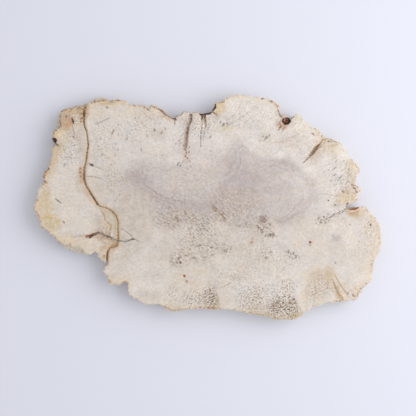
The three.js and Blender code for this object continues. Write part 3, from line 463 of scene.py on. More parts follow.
# where the vessels show, leaning one way on the right and the other way in the middle
PORES_RISING = ovals(
    (20, -3, 15, 8, 0.5), (21, -12, 10, 5, 0.45), (34, -28, 6, 5, 0.7), (41, -31, 14, 7, 0.4),
    (14, -40, 12, 8, 0.45), (28, -37, 18, 8, 0.35), (3, -55, 5, 5, 1.5), (38, -59, 5, 4.5, 1.5),
    (49, -56, 4, 7, 1.6), (46, -46, 7, 6, 0.85), (35, -49, 9, 9, 0.5), (64, -46, 8, 8, 0.7),
    (60, -52, 8, 6, 0.35), (-8, -53, 9, 7, 0.85), (-20, -50, 6, 7, 0.5), (28, -25, 16, 10, 0.3),
    (-42, 44, 14, 9, 0.4), (-60, 40, 8, 18, 0.42), (-79, 34, 8, 13, 0.5), (-35, 50, 10, 5, 0.45),
    (-54, 16, 6, 10, 0.45, 20), (76, -3.4, 6, 2.4, 0.7, 25), (71, 37, 6, 3, 0.9, -15), (82, 10, 6, 8, 0.35),
    (95, -14, 5, 10, 0.4), (45, 38, 12, 5, 0.35, 10), (-5, 48, 12, 8, 0.7), (10, 48, 5, 4, 0.5),
    (22, 52, 18, 10, 0.25), (85, -25, 14, 18, 0.15), (-58, -16, 8, 5, 0.6, -20), (-76, 52, 8, 6, 0.5),
    (72, -48, 6, 7, 0.4), (88, -12, 8, 12, 0.2),
) + ovals(
    (31.5, -10.5, 6, 8, 0.65, 30), (36, -16, 4, 2, 1.2), (48.5, -27.5, 4.5, 4, 0.9), (25, -53, 11, 11, 0.85),
    (44.5, -56, 9, 10, 1.3), (43, -61, 12, 5, 1.2), (2, -52.5, 5.6, 8, 1.3),
    (66, -7, 5, 3.4, 1.0, 20), edge=SOFT,
)
PORES_FALLING = ovals(
    (-4, -21, 17, 6, 0.65, -15), (-10, -27, 15, 6, 0.55, -10), (-17, -30, 6, 5, 0.95),
    (8, -4.5, 6, 4.5, 0.8, -40), (10, -24, 5, 6, 0.65), (-28, -8, 5, 7, 0.45), (-18, 2, 18, 8, 0.4),
    (14, 4, 18, 8, 0.35), (-8, 14, 18, 10, 0.25), (16, -8, 12, 6, 0.3, -10), (2, -18, 14, 5, 0.3, -10),
) + ovals(
    (-20, -6, 14, 7, 0.58, -10), (-5, -12, 13, 11, 0.68), edge=SOFT,
)
# where rays cross the growth, as rows of fine grey dashes
RAYS = ovals(
    (75, 17, 11, 12, 1.3), (60, 31, 8, 9, 0.9), (39, 51, 7, 8, 0.9), (24, 53, 17, 9, 0.6),
    (52, 44, 10, 8, 0.5), (-11, 42, 7, 12, 0.5), (86, -50, 8, 5, 0.6), (64, -43, 10, 10, 0.6),
    (75, -4, 8, 4, 0.6), (66, 13, 7, 8, 0.4), (20, 50, 12, 9, 0.7),
)
# where single vessels stand apart as dark dots
DOTS = ovals(
    (-57, 40, 13, 22, 1.0), (-80, 32, 9, 15, 1.0), (-38, 45, 14, 11, 0.8), (-50, 8, 12, 14, 0.6),
    (25, 52, 18, 9, 0.35), (92, -18, 8, 18, 0.7), (84, -46, 10, 8, 0.6), (-20, 38, 14, 10, 0.4),
    (78, 22, 8, 14, 0.6), (-92, -8, 6, 12, 0.7, 20), (-18, -52, 10, 6, 0.8), (30, 36, 10, 5, 0.4),
)
# where iron has stained the stone's edge most
IRON_RIM = ovals(
    (-78, 57, 10, 5, 1), (-58, 62, 12, 4, 0.7), (-87, 43, 5, 8, 0.9), (-93, 20, 4, 9, 0.75),
    (-98, -1, 4, 8, 0.45), (-90, -14, 10, 8, 0.4, -40), (-66, -26, 6, 3, 0.3), (-59, -34, 4, 8, 0.2),
    (-52, -42.5, 7, 2, 0.6), (-38, -52, 10, 5, 0.2, -25), (-16, -58, 16, 3, 0.45), (3, -58, 5, 3, 0.7),
    (25, -60, 16, 3, 0.4), (44, -63, 10, 3, 0.4), (64, -56, 9, 3, 0.15, 10), (76, -52, 4, 4, 0.6),
    (87, -47, 8, 5, 0.4, 40), (94, -32, 4, 12, 0.25, 10), (99, -14, 3, 12, 0.15), (92, -3, 7, 4, 0.2, -30),
    (84, 9, 4, 5, 0.4), (84, 23, 4, 7, 0.35), (79, 33, 5, 5, 0.1), (70, 39, 7, 3, 0.45, -10),
    (63, 43, 5, 3, 0.4, -35), (45, 50, 5, 4, 1), (12, 62, 6, 3, 0.3, 20), (38, 59, 4, 4, 0.7, -40),
    (7, 59, 6, 5, 0.6, 45), (0, 54.5, 6, 3, 0.9), (-9, 55, 7, 3, 0.6), (-23, 54, 8, 4, 1, -35),
    (-34, 57, 4, 4, 0.8), (-42, 59, 4, 2, 0.5),
)


@dataclass(frozen=True)
class PetrifiedWood:
    """Silica that has taken the place of wood, cut and polished: a dense stone with the wood's colours
    clouded through it, a satin polish above, saw marks below and a dull, iron-stained rind around it."""

    name: str = "petrified wood, satin polish"
    sapwood: str = "#DBD2CB"
    heartwood: str = "#B8ABA8"
    vessel: str = "#5F4F44"
    vessel_tan: str = "#856C57"
    vessel_wall: str = "#E8E0D8"
    ray: str = "#776D66"
    ochre_rim: str = "#D6C096"
    iron: str = "#9A6B3E"
    vein_halo: str = "#CCB08D"
    vein_fleck: str = "#8C643D"
    vein_core: str = "#4C2D17"
    vein_low: str = "#8B7050"
    bark_cream: str = "#DED4C5"
    bark_tan: str = "#BA915F"
    bark_hollow: str = "#6B4A30"
    ior: float = 1.54
    polish: float = 0.42
    sawn: float = 0.62
    weathered: float = 0.85
    relief_mm: float = 0.12
    relief: float = 0.6
    # pitch and push of the noise that bends every mark
    wander_mm: tuple[tuple[float, float], ...] = ((14, 7), (2.6, 2.2))
    # pitch of each grade of mottling, and how far it swings from light to dark and from warm to cool
    mottling: tuple[tuple[float, float, float], ...] = ((0.9, 0.53, 0.1), (2.2, 0.45, 0.14), (9, 0.25, 0.11))
    ring_pitch_mm: float = 2.4
    # a filled vessel with the stain round it is about 0.7 mm wide
    vessel_pitch_mm: float = 0.72
    rising_length_mm: float = 1.05
    rising_deg: float = 38.0
    falling_length_mm: float = 1.7
    falling_deg: float = -36.0
    dot_pitch_mm: float = 2.3
    ray_pitch_mm: float = 0.55
    ray_length_mm: float = 3.2
    ray_deg: float = 43.0
    bark_pitch_mm: float = 7.0
    bark_grain_mm: float = 1.4
    relief_pitch_mm: float = 0.9

    def material(self) -> bpy.types.Material:
        """Builds the stone's material.

        Returns:
            The material, with all its nodes.
        """
        stone = bpy.data.materials.new(self.name)
        stone.use_nodes = True
        stone.node_tree.nodes.clear()
        StoneNodes(self, stone.node_tree).build()
        return stone


class StoneNodes:
    """The stone's nodes: its colours are laid one over the other, as the minerals came into the wood.

    A mark's fade isn't clamped: its smooth step ends by itself, and a clamp for each of the many marks
    would be more than the renderer can hold in one material.
    """

    def __init__(self, finish: PetrifiedWood, tree: bpy.types.NodeTree) -> None:
        """Starts with the places that every pattern is measured in, and the raggedness of every edge.

        Args:
            finish: The stone's colours and sizes.
            tree: The material's own nodes.
        """
        self.finish = finish
        self.tree = tree
        where = add_node(tree, "TexCoord", out="Object")
        self.place = add_node(tree, "VectorMath", {0: where, "Scale": 1 / MM}, operation="SCALE")
        self.flat = add_node(tree, "VectorMath", {0: self.place, 1: (1, 1, 0)}, operation="MULTIPLY")
        self.aside = add_node(tree, "VectorMath", {0: self.flat, 1: ASIDE}, operation="ADD")
        self.warped = self.flat
        for pitch, push in finish.wander_mm:
            self.warped = self.pushed(self.warped, pitch, push)
        self.rind = add_node(tree, "Attribute", out="Fac", attribute_name="rind")
        self.ragged = add_node(tree, "MapRange", {
            "Value": self.noise(1.1, 3.0, 0.65), "From Min": 0.2, "From Max": 0.8, "To Min": -0.55,
            "To Max": 0.55,
        }, clamp=False)

    def build(self) -> None:
        """Lays all the colours, and joins them with the relief and the roughness."""
        finish = self.finish
        self.heartwood()
        for layer in (GREIGE, OCHRE, RUST_TAN, LILAC, NET, PALE):
            self.stained(layer)
        self.mottled()
        self.pored(PORES_RISING, finish.rising_deg, finish.rising_length_mm)
        self.pored(PORES_FALLING, finish.falling_deg, finish.falling_length_mm)
        for step in (self.dotted, self.rayed, self.rimmed, self.veined, self.inked):
            step()
        self.lay(self.bark(), self.rind)
        height, rough = self.relief()
        bump = add_node(self.tree, "Bump", {
            "Strength": finish.relief, "Distance": finish.relief_mm * MM, "Height": height,
        })
        shader = add_node(self.tree, "BsdfPrincipled", {
            "Base Color": self.colour, "Roughness": rough, "IOR": finish.ior, "Normal": bump,
        })
        add_node(self.tree, "OutputMaterial", {"Surface": shader})

    def noise(self, pitch: float, detail: float = 2.0, roughness: float = 0.6,
              levels: tuple[float, float, float, float] | None = None,
              place: Socket | None = None) -> Socket:
        """Cloudy noise over the slice's plane.

        Args:
            pitch: The clouds' pitch in millimetres.
            detail: How many finer grades they have.
            roughness: How strong the finer grades are.
            levels: Where the noise starts and ends to count, and the numbers that it then becomes.
            place: Where it is read, if not straight above the slice's plane.

        Returns:
            The noise.
        """
        noise = add_node(self.tree, "TexNoise", {
            "Vector": place or self.flat, "Scale": 1 / pitch, "Detail": detail, "Roughness": roughness,
        })
        if levels is None:
            return noise
        start, end, least, most = levels
        return add_node(self.tree, "MapRange", {
            "Value": noise, "From Min": start, "From Max": end, "To Min": least, "To Max": most,
        })

    def laid(self, below: Socket | str, above: Socket | str, *shares: Socket) -> Socket:
        """Lays one colour over another, as much of it as all the shares let through.

        Args:
            below: The colour below, as an output or a hex colour.
            above: The colour above.
            *shares: How much of it shows, as one or more numbers that are multiplied.

        Returns:
            The mixed colour.
        """
        share = shares[0]
        for other in shares[1:]:
            share = add_node(self.tree, "Math", {0: share, 1: other}, operation="MULTIPLY")
        below, above = (linear(tone) if isinstance(tone, str) else tone for tone in (below, above))
        return add_node(self.tree, "Mix", {0: share, 6: below, 7: above}, 2, data_type="RGBA")

    def lay(self, above: Socket | str, *shares: Socket) -> None:
        """Lays one more colour over the colour so far."""
        self.colour = self.laid(self.colour, above, *shares)

    def pushed(self, place: Socket, pitch: float, push: float) -> Socket:
        """A place pushed about by noise, so that no mark has a drawn edge.

        Args:
            place: The place in millimetres.
            pitch: The noise's pitch in millimetres.
            push: How far it pushes at most, in millimetres.

        Returns:
            The pushed place.
        """
        noise = add_node(self.tree, "CombineXYZ", {
            0: self.noise(pitch, 3.0, 0.5), 1: self.noise(pitch, 3.0, 0.5, place=self.aside),
        })
        noise = add_node(self.tree, "VectorMath", {0: noise, 1: (0.5, 0.5, 0.5)}, operation="SUBTRACT")
        return add_node(self.tree, "VectorMath", {0: noise, 1: (push, push, 0), 2: place},
                        operation="MULTIPLY_ADD")

    def oval(self, mark: Oval) -> Socket:
        """One oval mark's strength over the slice.

        Args:
            mark: The oval.

        Returns:
            A value from 0 outside the oval to its strength within.
        """
        tree = self.tree
        turn = math.radians(mark.turn)
        local = add_node(tree, "VectorMath", {0: self.warped, 1: (mark.x, mark.y, 0)}, operation="SUBTRACT")
        along = (math.cos(turn) / mark.long, math.sin(turn) / mark.long, 0)
        across = (-math.sin(turn) / mark.short, math.cos(turn) / mark.short, 0)
        u = add_node(tree, "VectorMath", {0: local, 1: along}, "Value", operation="DOT_PRODUCT")
        v = add_node(tree, "VectorMath", {0: local, 1: across}, "Value", operation="DOT_PRODUCT")
        square = add_node(tree, "Math", {0: u, 1: u}, operation="MULTIPLY")
        square = add_node(tree, "Math", {0: v, 1: v, 2: square}, operation="MULTIPLY_ADD")
        return add_node(tree, "MapRange", {
            "Value": square, "From Min": FADED_OUT, "From Max": mark.edge.value ** 2, "To Max": mark.strength,
        }, interpolation_type="SMOOTHSTEP", clamp=False)

    def together(self, ovals: tuple[Oval, ...]) -> Socket:
        """Several ovals as one mask.

        Args:
            ovals: The ovals.

        Returns:
            The mask's value.
        """
        mask = self.oval(ovals[0])
        for mark in ovals[1:]:
            mask = add_node(self.tree, "Math", {0: mask, 1: self.oval(mark)}, operation="MAXIMUM")
        return mask

    def patch(self, patch: Patch) -> tuple[Socket, Socket]:
        """A lobed mark's strength over the slice, and the streaks of the growth rings that follow it.

        Args:
            patch: The mark.

        Returns:
            The mask's value, and the streaks as noise from 0 to 1.
        """
        tree = self.tree
        local = add_node(tree, "VectorMath", {0: self.warped, 1: (patch.x, patch.y, 0)}, operation="SUBTRACT")
        x, y = (add_node(tree, "VectorMath", {0: local, 1: way}, "Value", operation="DOT_PRODUCT")
                for way in ((1, 0, 0), (0, 1, 0)))
        angle = add_node(tree, "Math", {0: y, 1: x}, operation="ARCTAN2")
        turn = add_node(tree, "Math", {0: angle, 1: 1 / math.tau}, operation="MULTIPLY")
        turn = add_node(tree, "Math", {0: turn}, operation="FRACT")
        reach = add_node(tree, "FloatCurve", {"Value": turn})
        curve = reach.node.mapping.curves[0]
        most = max(radius for _, radius in patch.rim)
        curve.points[0].location = (0, patch.rim[0][1] / most)
        curve.points[1].location = (1, patch.rim[-1][1] / most)
        for degrees, radius in patch.rim[1:-1]:
            curve.points.new(degrees / 360, radius / most)
        reach.node.mapping.update()
        away = add_node(tree, "VectorMath", {0: local}, "Value", operation="LENGTH")
        share = add_node(tree, "Math", {0: away, 1: reach}, operation="DIVIDE")
        share = add_node(tree, "Math", {0: share, 1: most}, operation="DIVIDE")
        fade = add_node(tree, "MapRange", {
            "Value": y, "From Min": -12.0, "From Max": 6.0, "To Min": patch.lower_fade, "To Max": patch.fade,
        })
        beyond = add_node(tree, "Math", {0: share, 1: 1.0}, operation="SUBTRACT")
        beyond = add_node(tree, "Math", {0: beyond, 1: fade}, operation="DIVIDE")
        mask = add_node(tree, "MapRange", {
            "Value": beyond, "From Min": 1.0, "From Max": -1.0, "To Max": patch.strength,
        }, interpolation_type="SMOOTHSTEP", clamp=False)
        wobble = add_node(tree, "Math", {0: self.noise(9, 3.0, 0.55), 1: 7.0}, operation="MULTIPLY")
        out = add_node(tree, "Math", {0: share, 1: most / self.finish.ring_pitch_mm, 2: wobble},
                       operation="MULTIPLY_ADD")
        streak = add_node(tree, "TexNoise", {"W": out, "Scale": 1.0, "Detail": 2.0, "Roughness": 0.6},
                          noise_dimensions="1D")
        return mask, streak

    def heartwood(self) -> None:
        """Lays the lilac-grey heartwood on the pale sapwood, with its growth rings."""
        tree = self.tree
        right, right_rings = self.patch(HEART_RIGHT)
        left, left_rings = self.patch(HEART_LEFT)
        heart = add_node(tree, "Math", {0: right, 1: left, 2: 0.1}, operation="SMOOTH_MAX")
        heart = add_node(tree, "Math", {0: heart, 1: self.oval(ISLAND)}, operation="SUBTRACT", use_clamp=True)
        for core in HEART_CORES:
            heart = add_node(tree, "Math", {0: heart, 1: self.oval(core)}, operation="ADD", use_clamp=True)
        side = add_node(tree, "MapRange", {"Value": self.along(1, 0), "From Min": -6.0, "From Max": 10.0})
        rings = add_node(tree, "Mix", {0: side, 2: left_rings, 3: right_rings})
        swing = add_node(tree, "MapRange", {
            "Value": rings, "From Min": 0.3, "From Max": 0.7, "To Min": -0.17, "To Max": 0.17,
        }, clamp=False)
        heart = add_node(tree, "Math", {0: heart, 1: swing, 2: heart}, operation="MULTIPLY_ADD")
        line = add_node(tree, "Math", {0: rings, 1: 0.5}, operation="SUBTRACT")
        line = add_node(tree, "Math", {0: line}, operation="ABSOLUTE")
        line = add_node(tree, "MapRange", {
            "Value": line, "From Min": 0.025, "From Max": 0.0, "To Min": 1.0, "To Max": 0.84,
        })
        self.colour = self.laid(self.finish.sapwood, self.finish.heartwood, heart, line)
        shade = add_node(tree, "MapRange", {
            "Value": rings, "From Min": 0.3, "From Max": 0.7, "To Min": 1.015, "To Max": 0.985,
        }, clamp=False)
        self.tint(shade, shade, shade)

    def tint(self, *channels: Socket) -> None:
        """Multiplies the red, green and blue of the colour so far by a number each."""
        tint = add_node(self.tree, "CombineColor", dict(enumerate(channels)))
        self.colour = add_node(self.tree, "Mix", {0: 1.0, 6: self.colour, 7: tint}, 2, data_type="RGBA",
                               blend_type="MULTIPLY")

    def along(self, x: float, y: float) -> Socket:
        """The place's length along one way over the slice, in parts of that way's own length."""
        return add_node(self.tree, "VectorMath", {0: self.flat, 1: (x, y, 0)}, "Value",
                        operation="DOT_PRODUCT")

    def fibres(self, lean: float, long: float, short: float, roughness: float, bend: float) -> Socket:
        """Noise drawn out along one way over the slice, as the wood's cells are.

        Args:
            lean: That way, in degrees.
            long: The noise's pitch along it, in millimetres.
            short: Its pitch across.
            roughness: How strong its finer grades are.
            bend: How far it is bent.

        Returns:
            The noise.
        """
        turn = math.radians(lean)
        u = self.along(math.cos(turn) / long, math.sin(turn) / long)
        v = self.along(-math.sin(turn) / short, math.cos(turn) / short)
        grain = add_node(self.tree, "CombineXYZ", {0: u, 1: v})
        return add_node(self.tree, "TexNoise", {
            "Vector": grain, "Scale": 1.0, "Detail": 2.0, "Roughness": roughness, "Distortion": bend,
        })

    def stained(self, layer: Layer) -> None:
        """Lays one colour of stain over the colour so far, in clouds."""
        cloud = self.noise(layer.pitch, 4.0, 0.65, (*layer.levels, 0.0, 1.2))
        self.lay(layer.colour, self.together(layer.ovals), cloud)

    def mottled(self) -> None:
        """Adds mottling: light and dark grains of a millimetre, and clouds of warmer and cooler stone."""
        tree = self.tree
        for pitch, swing, hue in self.finish.mottling:
            shade = add_node(tree, "Math", {0: self.noise(pitch * 0.77), 1: swing, 2: 1 - swing / 2},
                             operation="MULTIPLY_ADD")
            warm = self.noise(pitch, levels=(0.0, 1.0, -hue / 2, hue / 2), place=self.aside)
            red = add_node(tree, "Math", {0: shade, 1: warm}, operation="ADD")
            blue = add_node(tree, "Math", {0: warm, 1: -1.3, 2: shade}, operation="MULTIPLY_ADD")
            self.tint(red, shade, blue)

    def pored(self, zones: tuple[Oval, ...], lean: float, long: float) -> None:
        """Adds the wood's vessels, filled with dark mineral, and the pale walls between them.

        Args:
            zones: Where they show.
            lean: The way that they are drawn out, in degrees.
            long: How long they are drawn out, in millimetres.
        """
        finish = self.finish
        density = self.together(zones)
        grain = self.fibres(lean, long, finish.vessel_pitch_mm, 0.55, 0.6)
        dark = add_node(self.tree, "MapRange", {
            "Value": grain, "From Min": 0.53, "From Max": 0.3, "To Max": 1.1,
        })
        vessel = self.laid(finish.vessel, finish.vessel_tan, self.noise(5, levels=(0.4, 0.6, 0.0, 1.0)))
        self.lay(vessel, dark, density)
        pale = add_node(self.tree, "MapRange", {
            "Value": grain, "From Min": 0.52, "From Max": 0.7, "To Max": 0.65,
        })
        self.lay(finish.vessel_wall, pale, density)

    def dotted(self) -> None:
        """Adds single filled vessels, as small dark dots far apart."""
        tree = self.tree
        cell = add_node(tree, "TexVoronoi", {"Vector": self.flat, "Scale": 1 / self.finish.dot_pitch_mm},
                        "Distance")
        chance = add_node(tree, "SeparateColor", {0: cell.node.outputs["Color"]})
        radius = add_node(tree, "MapRange", {
            "Value": chance, "From Min": 0.3, "From Max": 1.0, "To Min": 0.001, "To Max": 0.23,
        })
        share = add_node(tree, "Math", {0: cell, 1: radius}, operation="DIVIDE")
        dot = add_node(tree, "MapRange", {"Value": share, "From Min": 1.2, "From Max": 0.5, "To Max": 0.9})
        self.lay(self.finish.ray, dot, self.together(DOTS))

    def rayed(self) -> None:
        """Adds the rays: rows of fine grey dashes that all run one way."""
        finish = self.finish
        dash = self.fibres(finish.ray_deg, finish.ray_length_mm, finish.ray_pitch_mm, 0.6, 0.3)
        dash = add_node(self.tree, "MapRange", {
            "Value": dash, "From Min": 0.46, "From Max": 0.3, "To Max": 0.8,
        })
        self.lay(finish.ray, dash, self.together(RAYS))

    def rimmed(self) -> None:
        """Adds the ochre fringe and the brown line of iron along the slice's edge."""
        tree = self.tree
        rim = add_node(tree, "Attribute", out="Fac", attribute_name="rim")
        iron = add_node(tree, "Attribute", out="Fac", attribute_name="iron")
        ragged = add_node(tree, "MapRange", {
            "Value": self.noise(1.6, 4.0, 0.7), "From Min": 0.25, "From Max": 0.75, "To Min": -1.0,
        }, clamp=False)
        far = add_node(tree, "Math", {0: ragged, 1: 1.6, 2: rim}, operation="MULTIPLY_ADD")
        fringe = add_node(tree, "MapRange", {
            "Value": far, "From Min": 4.0, "From Max": -0.5, "To Max": 0.75,
        }, interpolation_type="SMOOTHSTEP", clamp=False)
        share = add_node(tree, "Math", {0: iron, 1: 0.6, 2: 0.12}, operation="MULTIPLY_ADD")
        self.lay(self.finish.ochre_rim, fringe, share)
        near = add_node(tree, "Math", {0: ragged, 1: 0.55, 2: rim}, operation="MULTIPLY_ADD")
        reach = add_node(tree, "Math", {0: iron, 1: 0.9, 2: 0.35}, operation="MULTIPLY_ADD")
        near = add_node(tree, "Math", {0: near, 1: reach}, operation="DIVIDE")
        edge = add_node(tree, "MapRange", {
            "Value": near, "From Min": 1.0, "From Max": 0.2, "To Max": 0.85,
        }, interpolation_type="SMOOTHSTEP", clamp=False)
        bead = add_node(tree, "Math", {0: iron, 1: 0.3, 2: self.noise(1.2, 3.0)}, operation="MULTIPLY_ADD")
        bead = add_node(tree, "MapRange", {"Value": bead, "From Min": 0.58, "From Max": 0.74})
        tone = self.laid(self.finish.iron, UMBER.value, self.noise(2.4, levels=(0.5, 0.65, 0.0, 1.0)))
        self.lay(tone, edge, bead)

    def veined(self) -> None:
        """Adds the long brown vein and the tan stain beside it."""
        tree, finish = self.tree, self.finish
        vein = add_node(tree, "Attribute", out="Fac", attribute_name="vein")
        far = add_node(tree, "Math", {0: self.ragged, 1: 1.5, 2: vein}, operation="MULTIPLY_ADD")
        halo = add_node(tree, "MapRange", {
            "Value": far, "From Min": 2.0, "From Max": 0.1, "To Max": 0.55,
        }, interpolation_type="SMOOTHSTEP", clamp=False)
        self.lay(finish.vein_halo, halo)
        near = add_node(tree, "Math", {0: self.ragged, 1: 0.7, 2: vein}, operation="MULTIPLY_ADD")
        core = add_node(tree, "MapRange", {
            "Value": near, "From Min": 0.3, "From Max": -0.35, "To Max": VEIN.strength,
        }, interpolation_type="SMOOTHSTEP", clamp=False)
        fleck = self.noise(0.8, 2.0, 0.7, (0.45, 0.62, 0.0, 1.0))
        lower = add_node(tree, "MapRange", {
            "Value": self.along(0, 1), "From Min": 3.0, "From Max": -3.0, "To Max": 0.75,
        })
        tone = self.laid(finish.vein_core, finish.vein_fleck, fleck)
        tone = self.laid(tone, finish.vein_low, lower)
        self.lay(tone, core, self.broken())

    def broken(self) -> Socket:
        """How much of a crack's mineral is left at each place: it has crumbled out in grains."""
        return self.noise(0.7, 2.0, 0.7, (0.62, 0.46, 0.35, 1.0))

    def inked(self) -> None:
        """Adds the mineral in the smaller cracks and specks, and the painted shade in the rim's deep pockets,
        whose colour the mesh carries.
        """
        tree = self.tree
        crack = add_node(tree, "Attribute", out="Fac", attribute_name="crack")
        ink = add_node(tree, "Attribute", out="Color", attribute_name="ink")
        edge = add_node(tree, "Math", {0: self.ragged, 1: 0.8, 2: crack}, operation="MULTIPLY_ADD")
        core = add_node(tree, "MapRange", {"Value": edge, "From Min": 0.28, "From Max": -0.25},
                        interpolation_type="SMOOTHSTEP", clamp=False)
        strength = ink.node.outputs["Alpha"]
        solid = add_node(tree, "MapRange", {"Value": strength, "From Min": 0.9, "From Max": 1.0})
        left = add_node(tree, "Math", {0: self.broken(), 1: solid}, operation="MAXIMUM")
        self.lay(ink, core, strength, left)

    def bark(self) -> Socket:
        """The colour of the bark wall: cream and tan, with iron in its hollows.

        Returns:
            The colour.
        """
        tree, finish = self.tree, self.finish
        long = add_node(tree, "VectorMath", {0: self.place, 1: (1, 1, 0.35)}, operation="MULTIPLY")
        iron = add_node(tree, "Attribute", out="Fac", attribute_name="iron")
        cavity = add_node(tree, "Attribute", out="Fac", attribute_name="cavity")
        tan = self.noise(finish.bark_pitch_mm, 5.0, 0.65, (0.35, 0.65, 0.0, 1.0), long)
        share = add_node(tree, "Math", {0: iron, 1: 0.7, 2: 0.25}, operation="MULTIPLY_ADD")
        colour = self.laid(finish.bark_cream, finish.bark_tan, tan, share)
        fine = self.noise(finish.bark_grain_mm, 4.0, 0.7, place=long)
        deep = add_node(tree, "MapRange", {
            "Value": cavity, "From Min": 0.0, "From Max": 0.12, "To Min": 0.05, "To Max": 0.8,
        })
        return self.laid(colour, finish.bark_hollow, deep, fine, share)

    def relief(self) -> tuple[Socket, Socket]:
        """The surface's small relief and its roughness.

        Returns:
            The height and the roughness.
        """
        tree, finish = self.tree, self.finish
        grain = self.noise(finish.relief_pitch_mm, 4.0, 0.7, place=self.place)
        z = add_node(tree, "VectorMath", {0: self.place, 1: (0, 0, 1)}, "Value", operation="DOT_PRODUCT")
        under = add_node(tree, "Math", {0: z, 1: 1.0}, operation="LESS_THAN")
        dull = add_node(tree, "Mix", {0: under, 2: finish.polish, 3: finish.sawn})
        rough = add_node(tree, "Mix", {0: self.rind, 2: dull, 3: finish.weathered})
        share = add_node(tree, "MapRange", {"Value": self.rind, "To Min": 0.12})
        height = add_node(tree, "Math", {0: grain, 1: share}, operation="MULTIPLY")
        return height, rough


@dataclass(frozen=True)
class Roughness:
    """One grade of the bark's roughness: its pitch and how much taller than wide it is, its swing, and
    the level of its noise that leaves the wall where it was."""

    name: str
    pitch_mm: float
    stretch: float
    swing_mm: float
    level: float


@dataclass
class WoodSlice:
    """The slice itself. Its mesh starts as the CAD solid, is made fine enough to carry the bark's
    roughness and the cracks' ragged lips, and is thinned again where it is flat."""

    node: str = "wood_slice"
    body: str = "root"
    slot: str = "stone"
    finish: PetrifiedWood = field(default_factory=PetrifiedWood)
    merge_mm: float = 0.002
    voxel_mm: float = 0.46
    # how far beside and below a crack's lip the mesh is finer
    lip_mm: float = 0.35
    lip_depth_mm: float = 0.6
    # a shelf starts this far below the face, and stands out fully that much lower
    shelf_top_mm: float = 0.7
    shelf_drop_mm: float = 1.8
    # the rim is measured on the wall between these depths, this far from any crack
    rim_depths_mm: tuple[float, float] = (0.25, 1.8)
    rim_clear_mm: float = 0.9
    rim_points: int = 9000
    least_iron: float = 0.05
    # the rind is the wall's middle and what is near the rim, and starts below a crack's mouth
    rind_reach_mm: float = 1.2
    face_depth_mm: float = 2.4
    mouth_mm: float = 1.5
    mouth_fade_mm: float = 3.5
    # how high a normal is where the wall ends, and over what change of it the rind comes in
    wall_lean: float = 0.92
    wall_fade: float = 0.25
    # the rind starts this far from a crack's edge, and is full that much further away
    clean_lip_mm: float = 0.1
    clean_fade_mm: float = 0.6
    # how high a normal is on a sawn face, and where the face is quite flat
    sawn_lean: float = 0.98
    flat_lean: float = 0.999
    # the height that the remeshed faces may be off by, and how deep a speck sinks
    slack_mm: float = 0.15
    speck_reach_mm: float = 0.4
    speck_slope: float = 0.5
    roughness: tuple[Roughness, ...] = (
        Roughness("ribs", 2.6, 4.0, 1.6, 0.46), Roughness("lumps", 1.5, 1.0, 1.5, 0.48),
        Roughness("grit", 0.7, 1.0, 0.6, 0.5),
    )
    vein_room_mm: float = 1.5
    thinned_to: float = 0.02
    smooth_deg: float = 35.0

    def build(self) -> bpy.types.Object:
        """Makes, roughens and dresses the slice.

        Returns:
            The finished piece.
        """
        self.low, self.high = (np.array(corner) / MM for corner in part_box(self.node))
        self.foot, self.top = self.low[2], self.high[2]
        self.piece = self.copied()
        for step in (self.remeshed, self.shelved, self.measured, self.roughened, self.levelled,
                     self.hollows, self.thinned):
            step()
        self.piece.data.materials.clear()
        self.piece.data.materials.append(self.finish.material())
        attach(self.piece, self.body)
        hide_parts(self.node)
        return self.piece

    def copied(self) -> bpy.types.Object:
        """A merged copy of the CAD solid's mesh as an object of its own.

        Returns:
            The copy, selected alone and active.
        """
        bpy.ops.object.select_all(action="DESELECT")
        piece = bpy.data.objects.new("polished_slice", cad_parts[self.node].data.copy())
        bpy.context.scene.collection.objects.link(piece)
        bpy.context.view_layer.objects.active = piece
        piece.select_set(True)
        bpy.ops.object.mode_set(mode="EDIT")
        bpy.ops.mesh.select_all(action="SELECT")
        bpy.ops.mesh.remove_doubles(threshold=self.merge_mm * MM)
        bpy.ops.object.mode_set(mode="OBJECT")
        return piece

    def remeshed(self) -> None:
        """Gives the solid an even, fine mesh, finer still along the cracks of the polished face."""
        remesh = self.piece.modifiers.new("even mesh", "REMESH")
        remesh.mode = "VOXEL"
        remesh.voxel_size = self.voxel_mm * MM
        bpy.ops.object.modifier_apply(modifier=remesh.name)
        where, facing = self.points()
        crack, _ = self.nearest(where)
        near = np.minimum(crack, self.away_from(where, VEIN.route)) < self.lip_mm
        upper = (where[:, 2] > self.top - self.lip_depth_mm) & (facing[:, 2] > 0.5)
        self.select(near & upper)
        bpy.ops.object.mode_set(mode="EDIT")
        bpy.ops.mesh.subdivide(number_cuts=1)
        bpy.ops.object.mode_set(mode="OBJECT")

    def shelved(self) -> None:
        """Brings the wall forward below the rim's hollows, so that their floors show from above."""
        where, _ = self.points()
        below = np.clip((self.top - self.shelf_top_mm - where[:, 2]) / self.shelf_drop_mm, 0, 1)
        for shelf in SHELVES:
            gap = np.hypot(where[:, 0] - shelf.x, where[:, 1] - shelf.y)
            share = below * np.exp(-(gap / shelf.reach) ** 2)
            where[:, 0] += share * shelf.out_x
            where[:, 1] += share * shelf.out_y
        self.placed(where)

    def placed(self, where: np.ndarray) -> None:
        """Puts the mesh's vertices there, but never outside the CAD solid's box.

        Args:
            where: The vertices' places in millimetres.
        """
        np.clip(where, self.low, self.high, out=where)
        self.piece.data.vertices.foreach_set("co", (where * MM).ravel())
        self.piece.data.update()

    def select(self, chosen: np.ndarray) -> None:
        """Selects those vertices of the piece, and no others.

        Args:
            chosen: True or False for each vertex.
        """
        bpy.ops.object.mode_set(mode="EDIT")
        bpy.ops.mesh.select_mode(type="VERT")
        bpy.ops.mesh.select_all(action="DESELECT")
        bpy.ops.object.mode_set(mode="OBJECT")
        self.piece.data.vertices.foreach_set("select", chosen)

